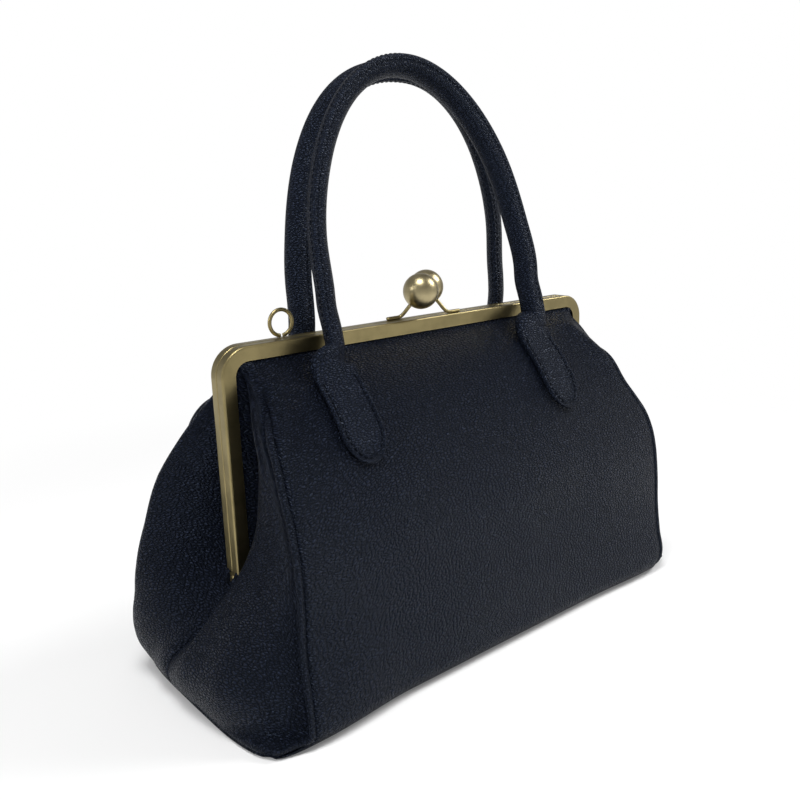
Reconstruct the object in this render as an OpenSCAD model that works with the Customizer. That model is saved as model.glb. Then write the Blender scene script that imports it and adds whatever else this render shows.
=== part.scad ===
// Kiss lock frame purse: two hinged brass frame halves with a ball clasp, carrying a flared
// leather body with folded side gussets, piped seams and two rolled handles.
// Origin: on the floor under the middle of the purse. X runs along the frame, Y from the
// front to the back, Z up. Millimetres.

/* [Frame] */
// Height of the closed frame's top edge above the floor
frame_top = 180; // [170:1:210]
// Width over the two legs of the frame
frame_w = 268; // [255:1:280]
// Drop from the frame's top edge to the hinge rivets
leg_drop = 120; // [112:1:125]
// Thickness of one frame half, front to back
half_t = 5.9; // [5.4:0.1:6.4]
// Width of the brass channel, seen from the front
channel_w = 7.4; // [6.8:0.1:8.4]
// Thickness of the brass sheet
brass_t = 0.9; // [0.7:0.05:1]
// Outer radius of the frame's corners
corner_r = 15; // [13:0.5:18]
// Rounding along the outer edges of the channel
edge_r = 1.1; // [0.6:0.1:1.3]
// Gap between the closed frame halves
half_gap = 0.2; // [0.1:0.05:0.4]

/* [Hinge] */
// Radius of the rivet through the hinge lugs
rivet_r = 1.3; // [1:0.05:1.6]
// Running clearance of the lugs on the rivet
rivet_play = 0.05; // [0.02:0.01:0.09]
// Radius of the rounded hinge lugs
lug_r = 4.2; // [3.6:0.1:4.6]
// Side gap between the two lugs of one hinge
lug_gap = 0.15; // [0.1:0.05:0.3]
// Radius of the rivet's outer head
rivet_head_r = 2.5; // [2.1:0.1:3.2]
// Thickness of the rivet's heads
rivet_head_t = 0.7; // [0.5:0.1:1]

/* [Clasp] */
// Diameter of each clasp ball
ball_d = 20; // [16:0.5:21]
// Height of the ball centres above the frame's top edge
ball_rise = 15.6; // [14:0.1:18]
// Gap between the two closed balls
ball_gap = 0.4; // [0.3:0.05:0.8]
// Angle of the line through both balls, away from the frame's length
ball_turn = 40; // [35:1:50]
// Diameter of the round wire of the clasp's stalks
stalk_d = 2.4; // [2:0.1:2.8]
// Length of a stalk's flat foot
foot_len = 13; // [10:0.5:16]
// Width of a stalk's flat foot
foot_w = 3.2; // [2.6:0.1:4]
// Thickness of a stalk's flat foot
foot_t = 1.3; // [1:0.1:1.8]
// Distance from the middle of the frame to the near end of a foot
foot_near = 14.5; // [12:0.5:18]
// Depth of the socket for the stalk in its ball
socket_depth = 4; // [3:0.5:6]

/* [Strap rings] */
// Outer diameter of a strap ring
ring_d = 15.2; // [13:0.1:18]
// Diameter of the ring's wire
ring_wire = 2; // [1.6:0.1:2.4]
// Distance of each ring from the middle of the frame
ring_x = 94; // [88:0.5:100]
// Opening between the ring's ends, in degrees
ring_split = 16; // [8:1:30]

/* [Body] */
// Depth of the body at the floor
base_depth = 136; // [126:1:146]
// How far each wall leans in from the floor to the fold line
wall_lean = 6; // [3:0.5:10]
// Radius of the front and rear bottom edges
bottom_r = 9; // [8:0.5:11]
// Half width of the front panel at the floor
panel_half_low = 139; // [134:1:143]
// Half width of the front panel at the fold line
panel_half_fold = 134.5; // [130:0.5:138]
// How far the base's corners flare out past the front panel
corner_flare = 19; // [14:1:22]
// How far the base's ends bow out past its corners
base_bow = 7; // [4:1:9]
// Height above the hinge at which the walls begin to fold
fold_rise = 15; // [12:1:20]
// Height over which a wall folds when the purse opens
fold_zone = 43; // [35:1:50]
// How far the widest part of a gusset stands out past the panel
gusset_bulge = 33; // [26:1:36]
// How far a gusset draws in from its widest part up to the fold line
gusset_draw = 16; // [8:1:20]
// Depth of the valley in each gusset, just under the hinge
valley_depth = 34; // [24:1:38]
// How far a front gusset lobe swells beside the frame's leg
front_lobe = 24; // [10:1:32]
// How far a rear gusset lobe swells beside the frame's leg
rear_lobe = 38; // [24:1:42]
// Depth of the fold behind each frame leg
lobe_tuck = 22; // [16:1:28]

/* [Leather and lining] */
// Thickness of the body leather
leather_t = 2; // [1.6:0.1:2.2]
// Thickness of the leather where the frame grips it
grip_t = 1.7; // [1.4:0.1:1.9]
// Diameter of the piping in the seams
piping_d = 4; // [3.4:0.1:4.2]
// Clearance between sewn layers
sewn_gap = 0.3; // [0.2:0.05:0.4]
// Thickness of the lining fabric
lining_t = 0.8; // [0.5:0.1:1]
// Thickness of the stiff board in the base
board_t = 2; // [1.5:0.1:2.5]
// Width of the slip pocket inside the rear wall
pocket_w = 150; // [110:1:180]
// Height of the slip pocket's mouth above the floor
pocket_top = 66; // [50:1:68]
// Thickness of the slip pocket's double fabric
pocket_t = 1.2; // [0.8:0.1:1.5]

/* [Handles] */
// Distance between the two legs of a handle, centre to centre
handle_span = 149; // [140:1:158]
// Rise of the handles' centre lines above the frame's top edge
handle_rise = 136; // [120:1:150]
// Height above the frame at which a handle's legs begin to curve
handle_straight = 25; // [15:1:35]
// Longer thickness of the rolled handle, towards its seam
handle_long = 15; // [13:0.5:16]
// Shorter thickness of the rolled handle
handle_short = 11; // [9:0.5:12]
// Angle of the seam's side away from the handle's own plane
seam_turn = 45; // [30:1:60]
// Diameter of the cord core inside a handle
core_d = 6.5; // [5.5:0.1:7]
// Clearance between the core and its leather
core_gap = 0.3; // [0.2:0.05:0.5]
// Width of the sewn tabs at the handle's ends
tab_w = 24; // [20:0.5:27]
// Height of the tab's lower tip below the frame's top edge
tab_drop = 59; // [52:0.5:61]
// Thickness of a tab on its panel
tab_t = 2.4; // [1.8:0.1:3]

/* [Hidden] */

BRASS = "#a08a52";
LEATHER = "#1b1d29";
TAB_LEATHER = "#20222f";
CLOTH = "#3a3c48";
BOARD = "#8d8271";
CORD = "#cdbf9f";

hinge_z = frame_top - leg_drop;
leg_foot = lug_r + 0.3;
fold_z = hinge_z + fold_rise;
panel_z = fold_z + fold_zone;
half_back = half_gap / 2;
half_front = half_back + half_t;
grip_y = half_front - brass_t - grip_t / 2 - 0.15;
mouth_z = frame_top - channel_w;
mouth_x = frame_w / 2 - channel_w;
base_half = base_depth / 2;
fold_half = base_half - wall_lean;
arc_y = base_half - bottom_r;
seam_in = piping_d / 2 + sewn_gap;
gusset_in = piping_d + 2 * sewn_gap;
ball_reach = (ball_d + ball_gap) / 2;
ball_x = ball_reach * cos(ball_turn);
ball_y = ball_reach * sin(ball_turn);
ball_z = frame_top + ball_rise;
fine = 48;

// Points of a wall's middle curve: a cubic from the fold line up to the frame's mouth
shoulder_y = 36;
shoulder_drop = 20;
function cubic(a, b, c, d, t) = a * pow(1 - t, 3) + 3 * b * t * pow(1 - t, 2)
    + 3 * c * t * t * (1 - t) + d * pow(t, 3);
function upper(t) = cubic(
    [fold_half, fold_z],
    [fold_half - 4, panel_z],
    [shoulder_y, mouth_z - shoulder_drop],
    [grip_y, mouth_z],
    t
);
function upper_slope(t) = (upper(min(t + 0.01, 1)) - upper(max(t - 0.01, 0)));
function inward(v) = [-v[1], v[0]] / norm(v);
// A point on an upper wall, set in from its outer face, as [depth, height]
function wall(t, off) = upper(t) + off * inward(upper_slope(t));
// Where along an upper wall a height lies
function wall_t(z, low = 0, high = 1) = let (mid = (low + high) / 2)
    high - low < 0.001 ? low : upper(mid)[1] < z ? wall_t(z, mid, high) : wall_t(z, low, mid);

// Where the piped seam runs: half width at a height above the bottom edge, and along the base
curl_z = 130;
function seam_wall(z) = z < fold_z
    ? panel_half_low + (panel_half_fold - panel_half_low) * (z - bottom_r) / (fold_z - bottom_r)
    : panel_half_fold - 1.5 * min(1, (z - fold_z) / 50) - 18 * pow(max(0, z - curl_z) / (mouth_z - curl_z), 2);
function rounded(c) = sqrt(max(0, 1 - pow(c, 4)));
function seam_arc(turn) = panel_half_low + corner_flare * sin(turn);
function seam_base(y) = panel_half_low + corner_flare + base_bow * rounded(abs(y) / arc_y);

// The lower profile, from the front fold line under the base to the rear fold line. Each entry
// is [depth, height, seam half width], set in from the outer face by off
lean_n = [fold_z - bottom_r, wall_lean] / norm([fold_z - bottom_r, wall_lean]);
lean_turn = atan(wall_lean / (fold_z - bottom_r));
function low_wall(s, off) = [
    base_half - wall_lean * s - off * lean_n[0],
    bottom_r + (fold_z - bottom_r) * s - off * lean_n[1]
];
function lower_half(off) = [
    for (s = [1:-1/5:0.05]) [low_wall(s, off)[0], low_wall(s, off)[1], seam_wall(low_wall(s, 0)[1])],
    for (a = [0:15:90]) [arc_y + (bottom_r - off) * cos(a), bottom_r - (bottom_r - off) * sin(a), seam_arc(a)]
];
function lower_path(off) = let (front = lower_half(off)) concat(
    front,
    [for (y = [0.9, 0.7, 0.5, 0.25, 0, -0.25, -0.5, -0.7, -0.9]) [y * arc_y, off, seam_base(y * arc_y)]],
    [for (i = [len(front) - 1:-1:0]) [-front[i][0], front[i][1], front[i][2]]]
);

// Closed sheet between two grids of points with as many rows and columns each
module sheet(first, second) {
    rows = len(first);
    cols = len(first[0]);
    points = concat([for (r = first) each r], [for (r = second) each r]);
    function at(side, i, j) = side * rows * cols + i * cols + j;
    function two(a, b, c, d) = [[a, b, c], [a, c, d]];
    function patch(side, i, j) = side == 0
        ? two(at(0, i, j), at(0, i + 1, j), at(0, i + 1, j + 1), at(0, i, j + 1))
        : two(at(1, i, j), at(1, i, j + 1), at(1, i + 1, j + 1), at(1, i + 1, j));
    function edge(i, j, k, l) = two(at(0, i, j), at(1, i, j), at(1, k, l), at(0, k, l));
    faces = concat(
        [for (side = [0, 1], i = [0:rows - 2], j = [0:cols - 2]) each patch(side, i, j)],
        [for (i = [0:rows - 2]) each edge(i, 0, i + 1, 0)],
        [for (i = [0:rows - 2]) each edge(i + 1, cols - 1, i, cols - 1)],
        [for (j = [0:cols - 2]) each edge(0, j + 1, 0, j)],
        [for (j = [0:cols - 2]) each edge(rows - 1, j, rows - 1, j + 1)]
    );
    polyhedron(points, faces, convexity = 6);
}

// Tube along a list of points, with sides given as a list of [across, up] offsets at each point
module tube(rings) {
    n = len(rings);
    m = len(rings[0]);
    function at(i, j) = i * m + j % m;
    faces = concat(
        [for (i = [0:n - 2], j = [0:m - 1]) each [
            [at(i, j), at(i + 1, j), at(i + 1, j + 1)],
            [at(i, j), at(i + 1, j + 1), at(i, j + 1)]
        ]],
        [[for (j = [0:m - 1]) j]],
        [[for (j = [m - 1:-1:0]) (n - 1) * m + j]]
    );
    polyhedron([for (r = rings) each r], faces, convexity = 6);
}

// Tube with a bore: the same number of sides outside and inside
module sleeve(outer, inner) {
    n = len(outer);
    m = len(outer[0]);
    function o(i, j) = i * m + j % m;
    function q(i, j) = n * m + i * m + j % m;
    function two(a, b, c, d) = [[a, b, c], [a, c, d]];
    faces = concat(
        [for (i = [0:n - 2], j = [0:m - 1]) each two(o(i, j), o(i + 1, j), o(i + 1, j + 1), o(i, j + 1))],
        [for (i = [0:n - 2], j = [0:m - 1]) each two(q(i, j), q(i, j + 1), q(i + 1, j + 1), q(i + 1, j))],
        [for (j = [0:m - 1]) each two(o(0, j), o(0, j + 1), q(0, j + 1), q(0, j))],
        [for (j = [0:m - 1]) each two(o(n - 1, j), q(n - 1, j), q(n - 1, j + 1), o(n - 1, j + 1))]
    );
    polyhedron(concat([for (r = outer) each r], [for (r = inner) each r]), faces, convexity = 6);
}

// Both ends of a pair along X
module both_sides() {
    children();
    mirror([1, 0, 0]) children();
}

// Frame: a brass channel, open towards the middle, bent into an inverted U
edge_arc = [0:30:90];
module rail_section() {
    back_r = edge_r / 2;
    polygon(concat(
        [[corner_r - channel_w, half_back]],
        [for (a = edge_arc) [corner_r - back_r + back_r * sin(a), half_back + back_r - back_r * cos(a)]],
        [for (a = edge_arc) [corner_r - edge_r + edge_r * cos(a), half_front - edge_r + edge_r * sin(a)]],
        [
            [corner_r - channel_w, half_front],
            [corner_r - channel_w, half_front - brass_t],
            [corner_r - brass_t, half_front - brass_t],
            [corner_r - brass_t, half_back + brass_t],
            [corner_r - channel_w, half_back + brass_t]
        ]
    ));
}

module half_rail() {
    run_x = frame_w / 2 - corner_r;
    rotate([90, 0, 0]) {
        translate([-run_x, frame_top - corner_r, 0]) rotate([90, 0, 90])
            linear_extrude(2 * run_x) rail_section();
        both_sides() translate([run_x, frame_top - corner_r, 0]) {
            rotate_extrude(angle = 90, $fn = fine) rail_section();
            rotate([90, 0, 0]) linear_extrude(leg_drop - corner_r - leg_foot) rail_section();
        }
    }
}

// A round-ended hinge plate, its outer face at the given X, on the leg in front of the rivet
module lug(outer_x) {
    translate([outer_x - brass_t, 0, hinge_z]) difference() {
        union() {
            rotate([0, 90, 0]) cylinder(h = brass_t, r = lug_r, $fn = fine);
            translate([0, -lug_r, 0]) cube([brass_t, lug_r - half_back, leg_foot + 2]);
        }
        translate([-1, 0, 0]) rotate([0, 90, 0])
            cylinder(h = brass_t + 2, r = rivet_r + rivet_play, $fn = fine);
    }
}

module front_frame_rail() color(BRASS) {
    half_rail();
    both_sides() lug(frame_w / 2);
}

// The rear lugs lie inside the front ones, on a step in the channel
module rear_frame_rail() color(BRASS) mirror([0, 1, 0]) {
    step_x = frame_w / 2 - brass_t - lug_gap;
    half_rail();
    both_sides() {
        lug(step_x);
        translate([step_x - brass_t, -half_front + brass_t / 2, hinge_z + leg_foot])
            cube([2 * brass_t, half_t - brass_t, 2]);
    }
}

module hinge_rivets() color(BRASS) both_sides() {
    inner_x = frame_w / 2 - 2 * brass_t - lug_gap;
    grip = frame_w / 2 - inner_x + 2 * rivet_play;
    translate([inner_x - rivet_play - rivet_head_t, 0, hinge_z]) rotate([0, 90, 0]) {
        cylinder(h = rivet_head_t, r = rivet_head_r - 0.4, $fn = fine);
        cylinder(h = grip + 2 * rivet_head_t, r = rivet_r, $fn = fine);
        translate([0, 0, grip + rivet_head_t])
            cylinder(h = rivet_head_t, r1 = rivet_head_r, r2 = rivet_head_r - 0.6, $fn = fine);
    }
}

// Clasp: each ball stands on a bent wire whose flat foot is soldered to the other side's rail
knee = [foot_near + stalk_d / 2, -half_back - half_t / 2, frame_top + foot_t + stalk_d / 4];
ball_at = [ball_x, ball_y, ball_z];
climb = ball_at - knee;
climb_turn = [0, acos(climb[2] / norm(climb)), atan2(climb[1], climb[0])];

module clasp_ball() color(BRASS) difference() {
    translate(ball_at) sphere(r = ball_d / 2, $fn = fine);
    translate(knee) rotate(climb_turn) translate([0, 0, norm(climb) - ball_d / 2 - 2])
        cylinder(h = socket_depth + 2, r = stalk_d / 2 + rivet_play, $fn = fine);
}

module clasp_stalk() color(BRASS) {
    translate([foot_near, knee[1] - foot_w / 2, frame_top]) cube([foot_len, foot_w, foot_t]);
    translate([foot_near + foot_len, knee[1], frame_top]) cylinder(h = foot_t, r = foot_w / 2, $fn = fine);
    intersection() {
        union() {
            translate(knee) sphere(r = stalk_d / 2, $fn = fine);
            translate(knee) rotate(climb_turn)
                cylinder(h = norm(climb) - ball_d / 2 + socket_depth - rivet_play, r = stalk_d / 2, $fn = fine);
        }
        translate([-frame_w / 2, -frame_w / 2, frame_top]) cube(frame_w);
    }
}

module front_clasp_ball() clasp_ball();
module front_clasp_stalk() clasp_stalk();
module rear_clasp_ball() rotate([0, 0, 180]) clasp_ball();
module rear_clasp_stalk() rotate([0, 0, 180]) clasp_stalk();

// Strap rings: bent wire, its ends soldered to the rear half's top
module strap_rings() color(BRASS) both_sides() {
    mean_r = (ring_d - ring_wire) / 2;
    drop = ring_d / 2 * cos(ring_split / 2);
    translate([ring_x, half_back + half_t / 2, frame_top + drop]) rotate([90, 0, 0])
        rotate([0, 0, 270 + ring_split / 2]) rotate_extrude(angle = 360 - ring_split, $fn = fine)
            translate([mean_r, 0]) circle(r = ring_wire / 2, $fn = 24);
}

// Paper cord that wedges the leather in its channel
grip_cord_d = half_t - 2 * brass_t - grip_t - 0.5;
module front_grip_cord() color(CORD) {
    cord_r = grip_cord_d / 2;
    lane = corner_r - channel_w / 2 - brass_t / 2;
    run_x = frame_w / 2 - corner_r;
    rotate([90, 0, 0]) translate([0, 0, half_back + brass_t + 0.15 + cord_r]) {
        translate([-run_x, frame_top - corner_r + lane, 0]) rotate([0, 90, 0])
            cylinder(h = 2 * run_x, r = cord_r, $fn = 24);
        both_sides() translate([run_x, frame_top - corner_r, 0]) {
            rotate_extrude(angle = 90, $fn = fine) translate([lane, 0]) circle(r = cord_r, $fn = 24);
            translate([lane, 0, 0]) rotate([90, 0, 0])
                cylinder(h = leg_drop - corner_r - leg_foot - 4, r = cord_r, $fn = 24);
        }
    }
}
module rear_grip_cord() mirror([0, 1, 0]) front_grip_cord();

// Body: a lower tub that stands still, and upper walls and folds that open with the frame
across = [-1, -0.75, -0.5, -0.25, 0, 0.25, 0.5, 0.75, 1];
// Where the seam runs at a slant, its edges are set in by more, so that the gap beside it is even
function slant(path, i) = let (
    step = path[min(i + 1, len(path) - 1)] - path[max(i - 1, 0)]
) norm(step) / norm([step[0], step[1]]);
function lower_grid(off, edge_in) = let (path = lower_path(off), outer = lower_path(0)) [
    for (i = [0:len(path) - 1]) let (half = path[i][2] - edge_in * slant(outer, i))
        [for (v = across) [v * half, -path[i][0], path[i][1]]]
];
function upper_grid(off, t0, t1, edge_in, steps) = [
    for (i = [0:steps]) let (
        t = t0 + (t1 - t0) * i / steps,
        p = wall(t, off),
        half = seam_wall(upper(t)[1]) - edge_in
    ) [for (v = across) [v * half, -p[0], p[1]]]
];

module wrap_panel() color(LEATHER) sheet(lower_grid(leather_t, seam_in), lower_grid(0, seam_in));

t_panel = wall_t(panel_z);
t_slit = 0.01 * sewn_gap / norm(upper_slope(0));
grip_up = frame_top - brass_t - 0.4;
function gripped(sheet_in) = [for (z = [mouth_z, grip_up]) [for (v = across)
    [v * (frame_w / 2 - corner_r - seam_in), -grip_y - grip_t / 2 + sheet_in, z]]];

module front_panel() color(LEATHER) sheet(
    concat(upper_grid(0, t_panel + t_slit, 0.97, seam_in, 12), gripped(0)),
    concat(upper_grid(leather_t, t_panel + t_slit, 0.97, seam_in, 12), gripped(grip_t))
);
module rear_panel() mirror([0, 1, 0]) front_panel();

module front_panel_fold() color(LEATHER) sheet(
    upper_grid(0, t_slit, t_panel - t_slit, seam_in, 6),
    upper_grid(leather_t, t_slit, t_panel - t_slit, seam_in, 6)
);
module rear_panel_fold() mirror([0, 1, 0]) front_panel_fold();

// Gusset: half depth and seam half width at a height, inside the piping
function gusset_turn(z) = asin(max(0, min(1, (bottom_r - z) / (bottom_r - gusset_in))));
function gusset_half(z) = z < bottom_r ? arc_y + (bottom_r - gusset_in) * cos(gusset_turn(z))
    : base_half - wall_lean * (z - bottom_r) / (fold_z - bottom_r) - gusset_in;
function gusset_seam(z) = z < bottom_r ? seam_arc(gusset_turn(z)) : seam_wall(z);
belly_z = 36;
function belly(z) = panel_half_low + gusset_bulge - (z < belly_z
    ? (gusset_bulge - corner_flare - base_bow) * pow((belly_z - z) / (belly_z - gusset_in), 2)
    : gusset_draw * pow((z - belly_z) / (fold_z - belly_z), 2));
function valley(z) = valley_depth * pow(max(0, z - gusset_in) / (hinge_z - gusset_in), 1.4);
function dip(c) = c < 0.6 ? (1 + cos(300 * c)) / 2 : 0;
function rim_z(y) = min(fold_z, hinge_z - 8 + 1.2 * max(0, abs(y) - 3));
function gusset_point(a, b) = let (
    top = rim_z(a * gusset_half(fold_z)),
    z = gusset_in + b * (top - 0.4 - gusset_in),
    c = abs(a)
) [gusset_seam(z) + (belly(z) - gusset_seam(z)) * rounded(c) - valley(z) * dip(c), a * gusset_half(z), z];
function gusset_normal(a, b) = let (
    da = gusset_point(min(a + 0.01, 1), b) - gusset_point(max(a - 0.01, -1), b),
    db = gusset_point(a, min(b + 0.01, 1)) - gusset_point(a, max(b - 0.01, 0)),
    n = cross(da, db)
) n / norm(n);
half_across = [0, 0.14, 0.28, 0.42, 0.55, 0.68, 0.8, 0.9, 0.97, 1];
gusset_rows = 7;
// The gusset's skin, left out are its outermost columns and its lowest and highest rows
function gusset_grid(off, skip = 0) = let (last = len(half_across) - 1 - skip) [
    for (i = [-last:last]) let (a = sign(i) * half_across[abs(i)]) [
        for (j = [sign(skip):gusset_rows - sign(skip)]) let (b = j / gusset_rows)
            gusset_point(a, b) - off * gusset_normal(a, b)
    ]
];

module right_gusset() color(LEATHER) sheet(gusset_grid(leather_t), gusset_grid(0));
module left_gusset() mirror([1, 0, 0]) right_gusset();

// A gusset fold beside a frame leg: from the piping, out over a lobe, in behind the leg and
// into the channel's mouth
fold_top = frame_top - corner_r - 2;
function fold_depth(z) = let (t = wall_t(z), slope = upper_slope(t))
    upper(t)[0] - (gusset_in + grip_t / 2) * norm(slope) / slope[1];
function fold_path(q, z, lobe) = let (
    d = fold_depth(z),
    k = d / (fold_half - gusset_in),
    seam = [seam_wall(z), d],
    grip = [mouth_x - brass_t, grip_y]
) q > 1 ? grip + (q - 1) * [channel_w - 2 * brass_t, 0]
    : cubic(seam, [seam[0] + lobe * k, 0.72 * d], [mouth_x - lobe_tuck, grip_y + 0.18 * d], grip, q);
fold_steps = [0, 0.08, 0.18, 0.3, 0.42, 0.54, 0.66, 0.78, 0.9, 1, 1.5, 2];
function fold_point(q, h, lobe) = let (
    low = rim_z(fold_path(q, fold_z, lobe)[1]) + 0.8,
    foot = q > 0.95 ? max(low, hinge_z + leg_foot + 2.6) : low,
    z = foot + h * (fold_top - foot),
    p = fold_path(q, max(z, fold_z), lobe)
) [p[0], -p[1], z];
function fold_normal(q, h, lobe) = let (
    z = fold_z + h * (fold_top - fold_z),
    dq = fold_path(min(q + 0.02, 2), z, lobe) - fold_path(max(q - 0.02, 0), z, lobe)
) [dq[1], dq[0], 0] / norm(dq);
fold_rows = 8;
function fold_grid(off, lobe) = [for (q = fold_steps) [for (i = [0:fold_rows]) let (h = i / fold_rows)
    fold_point(q, h, lobe) + off * fold_normal(q, h, lobe)]];

module gusset_folds(lobe) color(LEATHER) both_sides()
    sheet(fold_grid(grip_t / 2, lobe), fold_grid(-grip_t / 2, lobe));
module front_gusset_folds() gusset_folds(front_lobe);
module rear_gusset_folds() mirror([0, 1, 0]) gusset_folds(rear_lobe);

// Piping: round cord along the seams, set between the panel's edge and the gusset's
piping_sides = 8;
function ring_at(p, ahead, r) = let (
    k = ahead / norm(ahead),
    side = [1, 0, 0] - k[0] * k,
    e1 = side / norm(side),
    e2 = cross(k, e1)
) [for (j = [0:piping_sides - 1]) let (a = 360 / piping_sides * j) p + r * (cos(a) * e1 + sin(a) * e2)];
function swept(path, r) = [for (i = [0:len(path) - 1])
    ring_at(path[i], path[min(i + 1, len(path) - 1)] - path[max(i - 1, 0)], r)];
function loop_points() = [for (p = lower_path(seam_in)) [p[2], -p[0], p[1]]];
module right_piping() color(LEATHER) tube(swept(loop_points(), piping_d / 2));
module left_piping() mirror([1, 0, 0]) right_piping();

piping_top = frame_top - 20;
piping_steps = 12;
function side_points() = [for (i = [0:piping_steps]) let (
    t = t_slit + (wall_t(piping_top) - t_slit) * i / piping_steps,
    p = wall(t, seam_in)
) [seam_wall(upper(t)[1]), -p[0], p[1]]];
module front_side_piping() color(LEATHER) both_sides() tube(swept(side_points(), piping_d / 2));
module rear_side_piping() mirror([0, 1, 0]) front_side_piping();

// Inside: a stiff board on the base, the lining and a slip pocket
board_half_x = panel_half_low + corner_flare - 12;
module base_board() color(BOARD) translate([0, 0, leather_t + sewn_gap]) linear_extrude(board_t) {
    board_y = arc_y - 3;
    square([2 * board_half_x - 2 * bottom_r, 2 * board_y], center = true);
    square([2 * board_half_x, 2 * board_y - 2 * bottom_r], center = true);
    for (sx = [-1, 1], sy = [-1, 1])
        translate([sx * (board_half_x - bottom_r), sy * (board_y - bottom_r)]) circle(r = bottom_r, $fn = fine);
}

lining_in = leather_t + board_t + 2 * sewn_gap;
lining_edge = gusset_in + lining_in;
module tub_lining() color(CLOTH) {
    sheet(lower_grid(lining_in + lining_t, lining_edge + 3), lower_grid(lining_in, lining_edge + 3));
    both_sides() sheet(gusset_grid(leather_t + sewn_gap + lining_t, 2), gusset_grid(leather_t + sewn_gap, 2));
}

lining_top = 0.88;
module front_lining() color(CLOTH) sheet(
    upper_grid(leather_t + sewn_gap, 2 * t_slit, lining_top, lining_edge + 4, 12),
    upper_grid(leather_t + sewn_gap + lining_t, 2 * t_slit, lining_top, lining_edge + 4, 12)
);
module rear_lining() mirror([0, 1, 0]) front_lining();

pocket_face = lining_in + lining_t + sewn_gap;
pocket_low = 0.12;
pocket_high = (pocket_top - bottom_r) / (fold_z - bottom_r);
function pocket_side(off) = [for (s = [pocket_low, pocket_high]) let (p = low_wall(s, off))
    [[-pocket_w / 2, -p[0], p[1]], [pocket_w / 2, -p[0], p[1]]]];
module slip_pocket() color(CLOTH) mirror([0, 1, 0])
    sheet(pocket_side(pocket_face), pocket_side(pocket_face + pocket_t));

// Handles: rolled leather over a cord, an oval with its seam on the inner side. A leg leaves
// its tab along the panel, bends up past the frame and leans as its table says
handle_reach = norm([handle_long, handle_short]) / 2 * cos(45);
t_foot = wall_t(frame_top - 19);
foot_lift = sewn_gap + handle_reach;
foot_at = wall(t_foot, -foot_lift) - [0, frame_top];
foot_ahead = upper_slope(t_foot) / norm(upper_slope(t_foot));
front_lean = [[16.2, -5], [13.8, 4], [10.4, 14], [9.2, 25], [3.1, 50], [-3.5, 90], [-11.5, 136]];
rear_lean = [[16.2, -5], [14.8, 4], [14.9, 14], [16, 25], [16.8, 50], [21.5, 90], [29.5, 136]];
// How far the top of each arch sags sideways, and how square its shoulders stand
front_drift = -4;
rear_drift = 7;
front_square = 2;
rear_square = 2.25;
function leg(table) = concat([foot_at, foot_at + 5 * foot_ahead], [for (i = [0:2]) table[i]]);
function lean_at(table, z) = lookup(z, [for (p = table) [p[1], p[0]]]);
arch_steps = 34;
arch_rise = handle_rise - handle_straight;
function sag(z) = pow(max(0, z - 14) / (handle_rise - 14), 1.5);
function handle_path(table, drift, square) = let (feet = leg(table)) concat(
    [for (p = feet) [handle_span / 2, -p[0], frame_top + p[1]]],
    [for (i = [0:arch_steps]) let (
        a = 180 * i / arch_steps,
        z = handle_straight + arch_rise * pow(sin(a), 2 / square)
    ) [
        handle_span / 2 * sign(cos(a)) * pow(abs(cos(a)), 2 / square) + drift * sag(z),
        -lean_at(table, z),
        frame_top + z
    ]],
    [for (i = [len(feet) - 1:-1:0]) [-handle_span / 2, -feet[i][0], frame_top + feet[i][1]]]
);
handle_sides = 10;
function handle_ring(p, ahead, long_r, short_r) = let (
    k = ahead / norm(ahead),
    across_leg = cross([0, 1, 0], k),
    e1 = across_leg / norm(across_leg),
    e2 = cross(k, e1),
    turn = 180 - seam_turn
) [for (j = [0:handle_sides - 1]) let (
    a = 360 / handle_sides * j,
    u = long_r * cos(a),
    v = short_r * sin(a)
) p + (u * cos(turn) - v * sin(turn)) * e1 + (u * sin(turn) + v * cos(turn)) * e2];
front_path = handle_path(front_lean, front_drift, front_square);
rear_path = handle_path(rear_lean, rear_drift, rear_square);
function handle_rings(path, long_r, short_r) = let (last = len(path) - 1) [
    for (i = [0:last]) handle_ring(path[i], path[min(i + 1, last)] - path[max(i - 1, 0)], long_r, short_r)
];

module handle_cover(path) color(LEATHER) sleeve(
    handle_rings(path, handle_long / 2, handle_short / 2),
    handle_rings(path, core_d / 2 + core_gap, core_d / 2 + core_gap)
);
module handle_core(path) color(CORD) tube(handle_rings(path, core_d / 2, core_d / 2));
module front_handle() handle_cover(front_path);
module rear_handle() mirror([0, 1, 0]) handle_cover(rear_path);
module front_handle_core() handle_core(front_path);
module rear_handle_core() mirror([0, 1, 0]) handle_core(rear_path);

// Tabs: the handle's flat ends, sewn to the panel, round at the tip and swelling to the roll
t_tip = wall_t(frame_top - tab_drop);
t_tab = t_foot - 0.012;
function swell(s) = s < 0.7 ? 0 : pow((s - 0.7) / 0.3, 2);
function tab_half(s) = s < 0.35 ? tab_w / 2 * sqrt(1 - pow((0.35 - s) / 0.35, 2))
    : tab_w / 2 + (handle_reach - tab_w / 2) * swell(s);
function tab_lift(s) = tab_t + (2 * handle_reach - tab_t) * swell(s);
tab_rows = [0.004, 0.03, 0.08, 0.15, 0.25, 0.4, 0.55, 0.7, 0.8, 0.9, 1];
function tab_grid(side) = [
    for (s = tab_rows) let (p = wall(t_tip + (t_tab - t_tip) * s, -sewn_gap - side * tab_lift(s)))
        [for (v = [-1, -0.5, 0, 0.5, 1]) [handle_span / 2 + v * tab_half(s), -p[0], p[1]]]
];
module front_handle_tabs() color(TAB_LEATHER) both_sides() sheet(tab_grid(1), tab_grid(0));
module rear_handle_tabs() mirror([0, 1, 0]) front_handle_tabs();

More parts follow.
